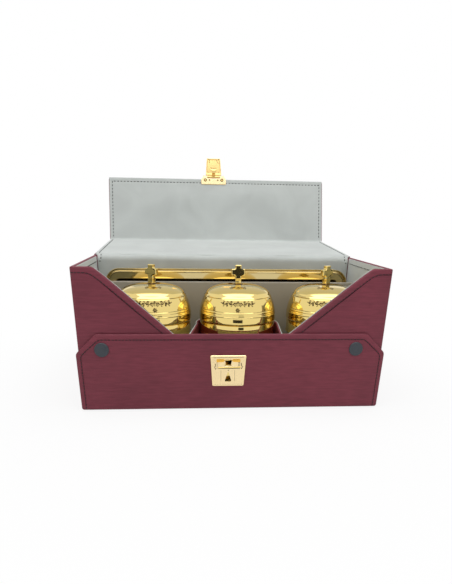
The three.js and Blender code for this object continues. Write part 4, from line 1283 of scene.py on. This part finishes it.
def make_partition():
    low, high = limits("partition")
    side_gap = Vector((0.2, 0, 0))
    # The partition is in the darker, warmer suede: painted shade and painted reflection of the gold.
    wall = block("partition_board", low + side_gap, high - side_gap, painted_shade_suede)
    round_edges(wall, 1.4, 4)
    slice_faces(wall, 20.0)
    finish_piece(smooth(lean_out(wall)), "root", "partition")


# Vessels

def vessel_centre(name):
    low, high = limits(f"vessel_{name}_body")
    return Vector(((low.x + high.x) / 2, (low.y + high.y) / 2, low.z))


def crown_point(t):
    """The crown's radius and height, from the shoulder at t = 0 to the flat under the collar at t = 1."""
    a = t * math.pi / 2
    r = CROWN_FLAT_R + (SHOULDER_R - 0.2 - CROWN_FLAT_R) * math.cos(a) ** 0.9
    return r, SHOULDER_Z + (DOME_TOP_Z - SHOULDER_Z) * math.sin(a) ** 1.1


def dome_outside():
    """The dome's outline, up from its rim: a plain foot, the side's ring lines, a bead and the crown."""
    foot = [(39.4, DOME_FOOT_Z), (39.9, 77.7), (40.15, 78.3), (DOME_R, 79.0), (DOME_R, 80.6)]
    side = []
    for t in spread(0.0, 1.0, 1 / 84):
        z = DOME_SIDE_Z + DOME_SIDE_H * t
        rise = sum(height * math.exp(-((z - at) / RING_LINE_W) ** 2) for at, height in RING_LINES)
        side.append((DOME_R - DOME_DRAW_IN * t ** 2 + rise, z))
    bead = [(34.75, 102.2), (34.85, 102.5), (34.9, 102.9), (34.6, 103.3)]
    return foot + side + bead + [crown_point(k / 16) for k in range(1, 17)]


DOME_OUTSIDE = dome_outside()


def make_vessel(name):
    centre = vessel_centre(name)
    make_dome(name, centre)
    make_body(name, centre)
    make_collar(name, centre)
    make_finial(name, centre)
    make_ornament(name, centre)
    paint(f"vessel_{name}_cup", steel)
    paint(f"vessel_{name}_nut", gold)


def make_dome(name, centre):
    kept = [(r, z) for r, z in reversed(DOME_OUTSIDE[2:-1]) if r > 8.0]
    inside = [(r - DOME_WALL, z - DOME_WALL * 0.6) for r, z in kept]
    hole = [(NUT_HOLE_R, DOME_TOP_Z), (NUT_HOLE_R, DOME_TOP_Z - DOME_WALL)]
    profile = DOME_OUTSIDE + hole + inside + [(38.1, DOME_FOOT_Z), DOME_OUTSIDE[0]]
    finish_piece(turned(f"{name}_dome", profile, centre, gold), f"vessel_{name}_lid", f"vessel_{name}_dome")


def make_body(name, centre):
    profile = [
        (0.0, 0.4), (30.0, 0.4), (31.5, 0.0), (33.3, 0.0), (34.0, 0.6), (34.0, 3.4), (34.7, 4.3), (36.4, 6.3),
        (37.5, 8.2), (BODY_R, 9.6), (BODY_R, 60.6), (38.1, 61.7), (38.9, 62.9), (39.7, 63.6),
        (FLANGE_R, 64.1), (FLANGE_R, 64.9), (39.8, 65.4), (39.5, 65.8), (39.5, 75.6), (39.2, 76.5),
        (38.6, 77.0), (NECK_R, 77.0), (NECK_R, 83.5), (33.9, 83.5), (33.9, 4.2), (0.0, 4.2),
    ]
    body = turned(f"{name}_body", profile, centre, gold, smooth_deg=30)
    finish_piece(body, f"vessel_{name}", f"vessel_{name}_body")


def make_collar(name, centre):
    z = DOME_TOP_Z
    profile = [
        (NUT_HOLE_R, z - 0.1), (4.3, z - 0.1), (4.6, z + 0.1), (4.6, z + 0.4), (4.2, z + COLLAR_H),
        (NUT_HOLE_R, z + COLLAR_H), (NUT_HOLE_R, z - 0.1),
    ]
    # The collar is near-black: painted shadow of the gap under the stem.
    collar = turned(f"{name}_collar", profile, centre, painted_shadow_gold, 48)
    finish_piece(collar, f"vessel_{name}_lid", f"vessel_{name}_collar")


def turn_point(point, angle):
    """A (u, v) point turned about the origin."""
    c, s = math.cos(angle), math.sin(angle)
    return (point[0] * c - point[1] * s, point[0] * s + point[1] * c)


def make_finial(name, centre):
    """A cross with bevelled edges on a waisted square stem."""
    def place(u, v, w):
        x, y = turn_point((u, -w), math.radians(FINIAL_TURN_DEG[name]))
        return (centre.x + x, centre.y + y, centre.z + CROSS_Z + v)

    edge = [(0.0, 1.6), (0.15, 2.05), (0.5, 2.35), (0.8, 2.4), (1.1, 2.4)]
    profile = [(inset, -w) for inset, w in reversed(edge)] + edge
    cross = plate(f"{name}_cross", cross_outline(), 0.3, profile, place, gold, 30)
    finish_piece(cross, f"vessel_{name}_lid", f"vessel_{name}_finial")
    base = DOME_TOP_Z + COLLAR_H - CROSS_Z
    levels = [(base, 2.9), (base + 0.3, 3.05), (base + 1.6, 2.85), (-CROSS_REACH - 1.5, 2.95),
              (-CROSS_REACH + 0.4, 3.2)]
    rings = []
    for v, half in levels:
        square = round_corners(trapezoid(-half, half, half, half), 0.5, 3)
        rings.append([place(x, v, y) for x, y in square])
    finish_piece(lofted(f"{name}_stem", rings, gold), f"vessel_{name}_lid")


def cross_outline():
    """Four equal arms that widen a little outward."""
    reach, half, end = CROSS_REACH, 3.0, 3.3
    arm = [(half + 0.5, half + 0.5), (half + 1.4, half), (reach - 0.5, end), (reach, end - 0.5),
           (reach, -end + 0.5), (reach - 0.5, -end), (half + 1.4, -half)]
    return [turn_point(p, -k * math.pi / 2) for k in range(4) for p in arm]


# Ornament: scrolls and lozenges engraved into the domes

def dome_radius(z):
    for (r0, z0), (r1, z1) in zip(DOME_OUTSIDE, DOME_OUTSIDE[1:]):
        if z0 <= z <= z1 and z1 > z0:
            return r0 + (r1 - r0) * (z - z0) / (z1 - z0)
    return DOME_OUTSIDE[-1][0]


def dome_point(centre, across, z, turn):
    """A point just over the dome's side: across is measured round it from where its ornament faces."""
    r = dome_radius(z) + STROKE_LIFT
    angle = across / r - math.pi / 2 + turn
    return Vector((centre.x + r * math.cos(angle), centre.y + r * math.sin(angle), centre.z + z))


def spiral(cu, cv, radius, turns, start_deg, hand):
    """A scroll that winds in to its centre, as (u, v) points."""
    points = []
    count = round(turns * 16)
    for k in range(count + 1):
        t = k / count
        a = math.radians(start_deg) + hand * t * turns * math.tau
        r = radius * (1 - 0.82 * t)
        points.append((cu + r * math.cos(a), cv + r * math.sin(a)))
    return points


def scroll_lines():
    """A band of paired scrolls with leaves, mirrored about its middle."""
    lines = []
    for hand in (-1, 1):
        for index, (cu, size) in enumerate(((3.2, 2.0), (7.6, 1.8), (11.6, 1.5), (15.0, 1.1))):
            turn = 1 if index % 2 else -1
            lines.append(spiral(hand * cu, 0.35 * turn, size, 1.4, 90.0 * turn, hand * turn))
        lines.append([(hand * u, 0.9 * math.sin(u * 0.78)) for u in spread(0.6, 17.6, 0.9)])
        for u in (5.4, 9.6, 13.4):
            lines.append([(hand * u, 1.6), (hand * (u + 0.7), 2.3), (hand * (u + 1.5), 2.5)])
            lines.append([(hand * (u + 0.6), -1.5), (hand * (u + 1.1), -2.2), (hand * (u + 1.9), -2.4)])
    lines.append([(0.0, -2.2), (0.0, 2.4)])
    lines.append([(-1.1, 1.2), (0.0, 2.6), (1.1, 1.2)])
    return lines


def rosette_lines():
    """A small flower of six petals in a nearly closed ring, slightly flattened."""
    petal = [(0.5, 0.0), (1.2, 0.55), (2.3, 0.0), (1.2, -0.55), (0.5, 0.0)]
    lines = [spiral(0.0, 0.0, 2.1, 0.98, 90.0, 1)]
    lines += [[turn_point(p, k * math.tau / 6) for p in petal] for k in range(6)]
    return [[(u, v * 0.95) for u, v in line] for line in lines]


def make_ornament(name, centre):
    turn = math.radians(ORNAMENT_TURN_DEG[name])
    pieces = []
    for z, lines in ((BAND_Z, scroll_lines()), (ROSETTE_Z, rosette_lines())):
        for line in lines:
            stroke = [dome_point(centre, u, z + v, turn) for u, v in line]
            pieces.append(tube("stroke", stroke, STROKE_R, engraving_and_painted_shade, 5))
    for angle in (-108.0, -90.0, -72.0):
        pieces.append(lozenge(centre, math.radians(angle) + turn))
    finish_piece(fuse(f"{name}_ornament", pieces), f"vessel_{name}_lid")


def lozenge(centre, angle):
    """A small engraved lozenge on the crown, at an angle round it."""
    r, z = crown_point(0.66)
    lower_r, lower_z = crown_point(0.58)
    out = Vector((math.cos(angle), math.sin(angle), 0.0))
    around = Vector((-out.y, out.x, 0.0))
    middle = Vector((centre.x, centre.y, centre.z + z)) + out * r
    down = (out * (lower_r - r) + Vector((0, 0, lower_z - z))).normalized()
    corners = [(0.0, 2.3), (1.6, 0.0), (0.0, -2.3), (-1.6, 0.0), (0.0, 2.3)]
    return tube("stroke", [middle + around * u + down * v for u, v in corners], 0.26, engraving_and_painted_shade, 5)


# Tray and snaps

def make_tray():
    """A pressed tray: rolled rim, curved flank and a flat floor, standing on its long edge."""
    low, high = limits("tray")
    middle, half = (low.x + high.x) / 2, (high.x - low.x) / 2
    rings = []
    for inset, back in TRAY_BACK + TRAY_FACE:
        y = low.y + back * (high.y - low.y) / TRAY_DEPTH
        r = max(TRAY_CORNER_R - inset, 4.0)
        ring = rounded_rect(half - inset, low.z + inset, high.z - inset, r, middle, 10)
        rings.append([(u, y, v) for u, v in ring])
    # The tray's gold is darker than the vessels' gold: painted shade.
    finish_piece(lofted("tray_pressed", rings, painted_shade_tray_gold), "tray", "tray")


def make_snaps():
    for side in ("left", "right"):
        low, high = limits(f"snap_cap_{side}")
        foot = Vector(((low.x + high.x) / 2, high.y, (low.z + high.z) / 2))
        r = (high.x - low.x) / 2
        profile = [
            (0.0, 0.0), (r - 0.3, 0.0), (r, 0.25), (r, 0.6), (r - 0.25, 0.95), (r - 0.7, 1.2), (r - 1.1, 1.2),
            (r - 1.5, 1.1), (r * 0.6, 1.42), (r * 0.3, 1.56), (0.0, 1.6),
        ]
        cap = turned(f"snap_{side}", profile, (0, 0, 0), lacquer, 64)
        cap.data.transform(Matrix.Rotation(math.radians(90), 4, "X"))
        cap.data.transform(Matrix.Translation(foot * MM))
        finish_piece(cap, "flap", f"snap_cap_{side}")
        paint(f"snap_stud_{side}", steel)
        paint(f"snap_socket_{side}", steel)


# Lock

def lock_place(u, v, w):
    """A point of the lock's face: across from its middle, up, and out of its foot's plane."""
    return (LOCK_X + u, LOCK_LOW.y + LOCK_RISE - w, v)


def slot_outline(inset, steps):
    half_h = SLOT_H / 2 - inset
    return rounded_rect(SLOT_W / 2 - inset, SLOT_Z - half_h, SLOT_Z + half_h, SLOT_R, steps=steps)


def make_lock():
    """The lock's face: a bevelled plate with a dished slot, a raised bar, a keyhole and fine lines."""
    corners = trapezoid(LOCK_LOW.z, LOCK_FOOT_W / 2, LOCK_HIGH.z, (LOCK_HIGH.x - LOCK_LOW.x) / 2)
    profile = [
        (0.0, LOCK_RISE - (LOCK_HIGH.y - LOCK_LOW.y)), (0.0, 1.1), (0.25, 1.45), (0.7, 1.85),
        (1.2, LOCK_RISE), (1.6, LOCK_RISE), (1.9, 1.8), (2.2, 1.75), (2.7, 1.75),
    ]
    face = plate("lock_front", corners, 1.9, profile, lock_place, pale_gold, 30)
    slice_faces(face, 6.0)
    for outline in (slot_outline(0.0, 8), KEYHOLE):
        carve(face, prism("cutter", outline, lock_place, -1.0, 3.0, gold))
    finish_piece(smooth(face, 30), "flap", "lock_plate")
    make_lock_dish()
    finish_piece(tube("lock_bar", [lock_place(*p) for p in LOCK_BAR], 0.55, gold, 12), "flap")
    make_lock_marks()
    for node, material in (("lock_case", gold), ("lock_spring", steel), ("lock_catch_plate", gold)):
        paint(node, material)


def make_lock_dish():
    """The shallow dish in the slot, round the opening for the hasp's lug."""
    dish = prism("lock_dish", slot_outline(0.05, 5), lock_place, 0.75, 1.3, pale_gold)
    carve(dish, prism("cutter", CATCH_HOLE, lock_place, 0.0, 2.0, pale_gold))
    finish_piece(dish, "flap")
    rise = [(0.0, 1.2), (0.0, 1.32), (0.3, 1.5), (0.8, 1.62), (1.2, 1.64)]
    # The two pads in the slot are in the orange gold: painted reflection of the surrounding gold.
    for side, name in ((-1, "left"), (1, "right")):
        corners = [(side * u, v) for u, v in ((4.0, 50.2), (11.8, 49.7), (11.9, 53.2), (4.0, 53.2))]
        finish_piece(plate(f"lock_dish_{name}", corners, 1.2, rise, lock_place, painted_reflection_orange_gold, 50), "flap")


def make_lock_marks():
    """The dot and the lines engraved into the lock's face, and a painted shadow line under its bar."""
    strokes = [tube("stroke", [lock_place(0.0, 41.8, w) for w in (1.6, 1.9)], 0.5, engraving_and_painted_shade, 12)]
    for radius, line in LOCK_MARKS:
        strokes.append(tube("stroke", [lock_place(u, v, 1.74) for u, v in line], radius, engraving_and_painted_shade, 6))
    finish_piece(fuse("lock_marks", strokes), "flap")


# Hasp: pressed gold plates on the lid's front board

def hasp_place(u, v, w):
    """A point of the hasp: across from its middle, along the lid's front board and out of it."""
    return (HASP_X + u, *along_front(v, w))


def make_hasp():
    # The hasp's hinged parts and its rivets use the darker, more orange gold, a painted reflection.
    paint("hasp_pin", hasp_painted_reflection_gold)
    make_hasp_base()
    make_hasp_knuckles()
    make_tongue()
    make_tongue_shade()
    rise = [(0.0, -0.4), (0.1, 0.0), (0.6, 0.3), (1.2, 0.5), (1.6, 0.53)]
    profile = [(inset, TONGUE_FLOOR + w) for inset, w in rise]
    corners = trapezoid(TONGUE_ROOT + 5.4, 5.2, TONGUE_ROOT + 9.0, 4.4)
    finish_piece(plate("hasp_pillow", corners, 1.6, profile, hasp_place, hasp_painted_reflection_gold, 50), "hasp")
    make_lug()


def base_rod(u, w0, w1, radius, material):
    """A round rod through the base plate, from w0 to w1 above its face."""
    ends = [hasp_place(u, HASP_LOW.y + HASP_HOLE_UP, HASP_FACE + w) for w in (w0, w1)]
    return tube("rod", ends, radius, material, 24)


def make_hasp_base():
    """The base plate with its two small holes and its two rivets, and dark discs set into all its holes as
    painted shade.
    """
    half, pin = (HASP_HIGH.x - HASP_LOW.x) / 2, PIN_AT[0]
    inner = TONGUE_KNUCKLE_W / 2 + 0.4
    right = [(half, HASP_LOW.y), (half, pin - 3.4), (half - HASP_SHOULDER, pin - 0.7), (inner, pin - 0.7),
             (inner, pin - 2.7)]
    outline = right + [(-u, v) for u, v in reversed(right)]
    profile = edge_profile(HASP_FACE - HASP_BASE_T, HASP_FACE, 0.05, 0.35)
    base = plate("hasp_base", outline, 1.3, profile, hasp_place, pale_gold, 30)
    slice_faces(base, 5.0)
    hole_shades = []
    rivets = []
    for side in (-1, 1):
        for u, r in HASP_HOLES:
            carve(base, base_rod(side * u, -0.5, 1.0, r, gold))
            # A dark disc inside each hole: painted shade.
            hole_shades.append(base_rod(side * u, -0.6, -0.45, r + 0.1, engraving_and_painted_shade))
        rivets.append(base_rod(side * HASP_RIVET_U, -0.9, 0.1, 1.2, hasp_painted_reflection_gold))
    finish_piece(fuse("hasp_painted_hole_shade", hole_shades), "lid_front")
    finish_piece(smooth(base, 30), "lid_front", "hasp_base_plate")
    finish_piece(fuse("hasp_rivets", rivets), "lid_front", "hasp_rivet_left", "hasp_rivet_right")


def knuckle(name, u0, u1, material):
    """A rolled knuckle on the pin, from u0 to u1 across the hasp."""
    return tube(name, [hasp_place(u, *PIN_AT) for u in (u0, u1)], HASP_KNUCKLE_R, material, 24)


def make_hasp_knuckles():
    """The base plate's two rolled ears and the tongue's rolled root, in one line on the pin."""
    inner = TONGUE_KNUCKLE_W / 2
    ears = [knuckle("ear", side * (inner + 0.3), side * HASP_EAR_OUT, pale_gold) for side in (-1, 1)]
    finish_piece(fuse("hasp_ears", ears), "lid_front")
    finish_piece(knuckle("hasp_roll", -inner, inner, hasp_painted_reflection_gold), "hasp")


def make_tongue():
    """A tapered plate with a raised rim, on a neck from the pin."""
    back, face, floor = TONGUE_BACK, HASP_FACE, TONGUE_FLOOR
    edge = [
        (0.45, back), (0.05, back), (0.0, back + 0.1), (0.0, face - 0.3), (0.12, face - 0.08), (0.4, face),
        (1.0, face), (1.3, face - 0.1), (1.7, floor + 0.05), (2.1, floor), (2.6, floor),
    ]
    corners = trapezoid(TONGUE_ROOT, TONGUE_ROOT_W / 2, TONGUE_END.y, TONGUE_TIP_W / 2)
    tongue = plate("hasp_tongue_plate", corners, 0.9, edge, hasp_place, hasp_painted_reflection_gold, 30)
    finish_piece(tongue, "hasp", "hasp_tongue")
    half = TONGUE_KNUCKLE_W / 2
    neck = trapezoid(PIN_AT[0], half, TONGUE_ROOT + 0.4, half)
    finish_piece(prism("hasp_neck", neck, hasp_place, back, face - 0.6, hasp_painted_reflection_gold), "hasp")


def make_tongue_shade():
    """Dark strokes on the tongue: painted shade in its top corners, along the insides of its rim and in a
    line beyond its pillow, and two small dark dots. Each has a radius, the height of the face under it and a
    line.
    """
    root, tip = TONGUE_ROOT, TONGUE_END.y
    marks = [
        (0.34, TONGUE_FLOOR, [(-5.6, tip - 1.6), (-5.6, tip - 6.4)]),
        (0.34, TONGUE_FLOOR, [(3.6, tip - 1.6), (5.2, tip - 4.2), (7.2, tip - 6.6)]),
        (0.3, TONGUE_FLOOR, [(-4.6, root + 10.2), (0.0, root + 9.7), (4.2, root + 10.2)]),
        (0.5, TONGUE_FLOOR, [(-8.1, root + 4.6), (-7.5, root + 4.3)]),
        (0.5, TONGUE_FLOOR, [(7.9, root + 4.6), (7.3, root + 4.3)]),
    ]
    for side in (-1, 1):
        marks.append((0.55, HASP_FACE, [(side * 8.6, tip - 0.9), (side * 6.9, tip - 0.9)]))
        marks.append((0.25, HASP_FACE, [(side * 9.0, tip - 3.0), (side * 9.9, root + 5.0)]))
    strokes = []
    for radius, face, line in marks:
        strokes.append(tube("stroke", [hasp_place(u, v, face - 0.1) for u, v in line], radius, engraving_and_painted_shade, 6))
    finish_piece(fuse("hasp_tongue_shade", strokes), "hasp")


def make_lug():
    """The hooked lug on the tongue that the lock's catch plate holds: a stem and then its hook."""
    half, reach = LUG_W / 2, TONGUE_END.z
    pieces = []
    for up, back, rounding in ((0.8, TONGUE_BACK + 0.4, 0.1), (1.9, reach - HOOK_T, 0.3)):
        corners = trapezoid(TONGUE_ROOT + up, half, TONGUE_ROOT + up + LUG_H, half)
        profile = edge_profile(back, reach, rounding, 0.4)
        pieces.append(plate("lug", corners, 0.5, profile, hasp_place, hasp_painted_reflection_gold, 30))
    finish_piece(fuse("hasp_lug", pieces), "hasp")


# Stage

def make_camera():
    data = bpy.data.cameras.new("camera")
    data.sensor_width = 36.0
    data.lens = FOCAL_PX / IMAGE_H * data.sensor_width
    data.shift_y = (CENTRE_V - IMAGE_H / 2) / IMAGE_H
    data.clip_start = 0.01
    camera = bpy.data.objects.new("camera", data)
    yaw, pitch = math.radians(CAMERA_YAW_DEG), math.radians(CAMERA_PITCH_DEG)
    forward = Vector((-math.sin(yaw) * math.cos(pitch), math.cos(yaw) * math.cos(pitch), -math.sin(pitch)))
    right = forward.cross(Vector((0, 0, 1))).normalized()
    turn = Matrix((right, right.cross(forward), -forward)).transposed().to_4x4()
    roll = Matrix.Rotation(math.radians(-CAMERA_ROLL_DEG), 4, "Z")
    camera.matrix_world = Matrix.Translation(CAMERA_AT) @ turn @ roll
    bpy.context.scene.collection.objects.link(camera)
    bpy.context.scene.camera = camera


def calculate(tree, operation, first, second):
    """The socket of a number made from two others."""
    node = add_node(tree, "ShaderNodeMath", {0: first, 1: second})
    node.operation = operation
    return node.outputs[0]


def rays_that_see_white(tree):
    """1 for camera, glossy and transmission rays, else 0."""
    rays = add_node(tree, "ShaderNodeLightPath").outputs
    seen = calculate(tree, "MAXIMUM", rays["Is Camera Ray"], rays["Is Glossy Ray"])
    return calculate(tree, "MAXIMUM", seen, rays["Is Transmission Ray"])


def show(tree, shader, output="Material Output"):
    tree.links.new(shader.outputs[0], tree.nodes[output].inputs["Surface"])


def mix_shaders(tree, share, first, second):
    """A shader that shows the second by its share, and the first for the rest."""
    return add_node(tree, "ShaderNodeMixShader", {"Fac": share, 1: first.outputs[0], 2: second.outputs[0]})


def make_world():
    world = bpy.data.worlds.new("studio")
    world.use_nodes = True
    tree = world.node_tree
    light = tree.nodes["Background"]
    light.inputs["Color"].default_value = WHITE
    light.inputs["Strength"].default_value = WORLD_LEVEL
    white = add_node(tree, "ShaderNodeBackground", {"Color": WHITE})
    show(tree, mix_shaders(tree, rays_that_see_white(tree), light, white), "World Output")
    bpy.context.scene.world = world


def whiteness_far_out(tree):
    """How much of the floor's own white shows: less around the case, so that its shadow stays."""
    coordinates = add_node(tree, "ShaderNodeTexCoord").outputs["Object"]
    distance = add_node(tree, "ShaderNodeVectorMath", {0: coordinates})
    distance.operation = "LENGTH"
    inputs = {"Value": distance.outputs["Value"], "From Min": 0.19, "From Max": 0.42, "To Min": 0.85}
    share = add_node(tree, "ShaderNodeMapRange", inputs)
    share.interpolation_type = "SMOOTHSTEP"
    return share.outputs["Result"]


def add_plane(name, size):
    """A rectangle about its own middle, with a material of its own; returns the object and its shaders."""
    w, h = size[0] / 2, size[1] / 2
    mesh = bpy.data.meshes.new(name)
    mesh.from_pydata([(-w, -h, 0), (w, -h, 0), (w, h, 0), (-w, h, 0)], [], [(0, 1, 2, 3)])
    material = new_material(name, (0.9, 0.9, 0.9), 0.9)
    mesh.materials.append(material)
    plane = bpy.data.objects.new(name, mesh)
    bpy.context.scene.collection.objects.link(plane)
    return plane, material.node_tree


def make_floor():
    floor, tree = add_plane("floor", FLOOR_SIZE)
    floor.location.z = -0.0005
    glow = add_node(tree, "ShaderNodeEmission", {"Color": WHITE})
    share = calculate(tree, "MULTIPLY", rays_that_see_white(tree), whiteness_far_out(tree))
    show(tree, mix_shaders(tree, share, tree.nodes["Principled BSDF"], glow))


def aim(obj, axis, at, toward):
    """Puts an object at a place and turns one of its axes toward another."""
    obj.location = at
    obj.rotation_euler = (Vector(toward) - Vector(at)).to_track_quat(axis, "Y").to_euler()


def add_lamp(name, at, size, level):
    """A soft lamp that gives light of one level over its whole face, and that mirrors don't show."""
    data = bpy.data.lights.new(name, "AREA")
    data.shape = "RECTANGLE"
    data.size, data.size_y = size
    data.energy = level * math.pi * size[0] * size[1]
    lamp = bpy.data.objects.new(name, data)
    lamp.visible_glossy = False
    aim(lamp, "-Z", at, STAGE_MIDDLE)
    bpy.context.scene.collection.objects.link(lamp)


def add_card(name, at, size, level):
    """A studio card that only mirrors see; the low ones stand square to the case's front."""
    card, tree = add_plane(name, size)
    aim(card, "Z", at, STAGE_MIDDLE if at[2] > 0.5 else (at[0], 0.0, at[2]))
    show(tree, add_node(tree, "ShaderNodeEmission", {"Color": (level, level, level, 1.0)}))
    card.visible_camera = False
    card.visible_diffuse = False
    card.visible_shadow = False
    card.visible_transmission = False


def make_stage():
    make_world()
    make_floor()
    for lamp in LAMPS:
        add_lamp(*lamp)
    for card in CARDS:
        add_card(*card)
    bpy.context.scene.view_settings.view_transform = "Standard"


make_case()
make_case_lining()
make_back_lining()
make_front_lining()
make_lid_seams()
make_lid_boards()
make_flap()
make_divider()
make_partition()
for vessel in VESSELS:
    make_vessel(vessel)
make_tray()
make_snaps()
make_lock()
make_hasp()
make_camera()
make_stage()
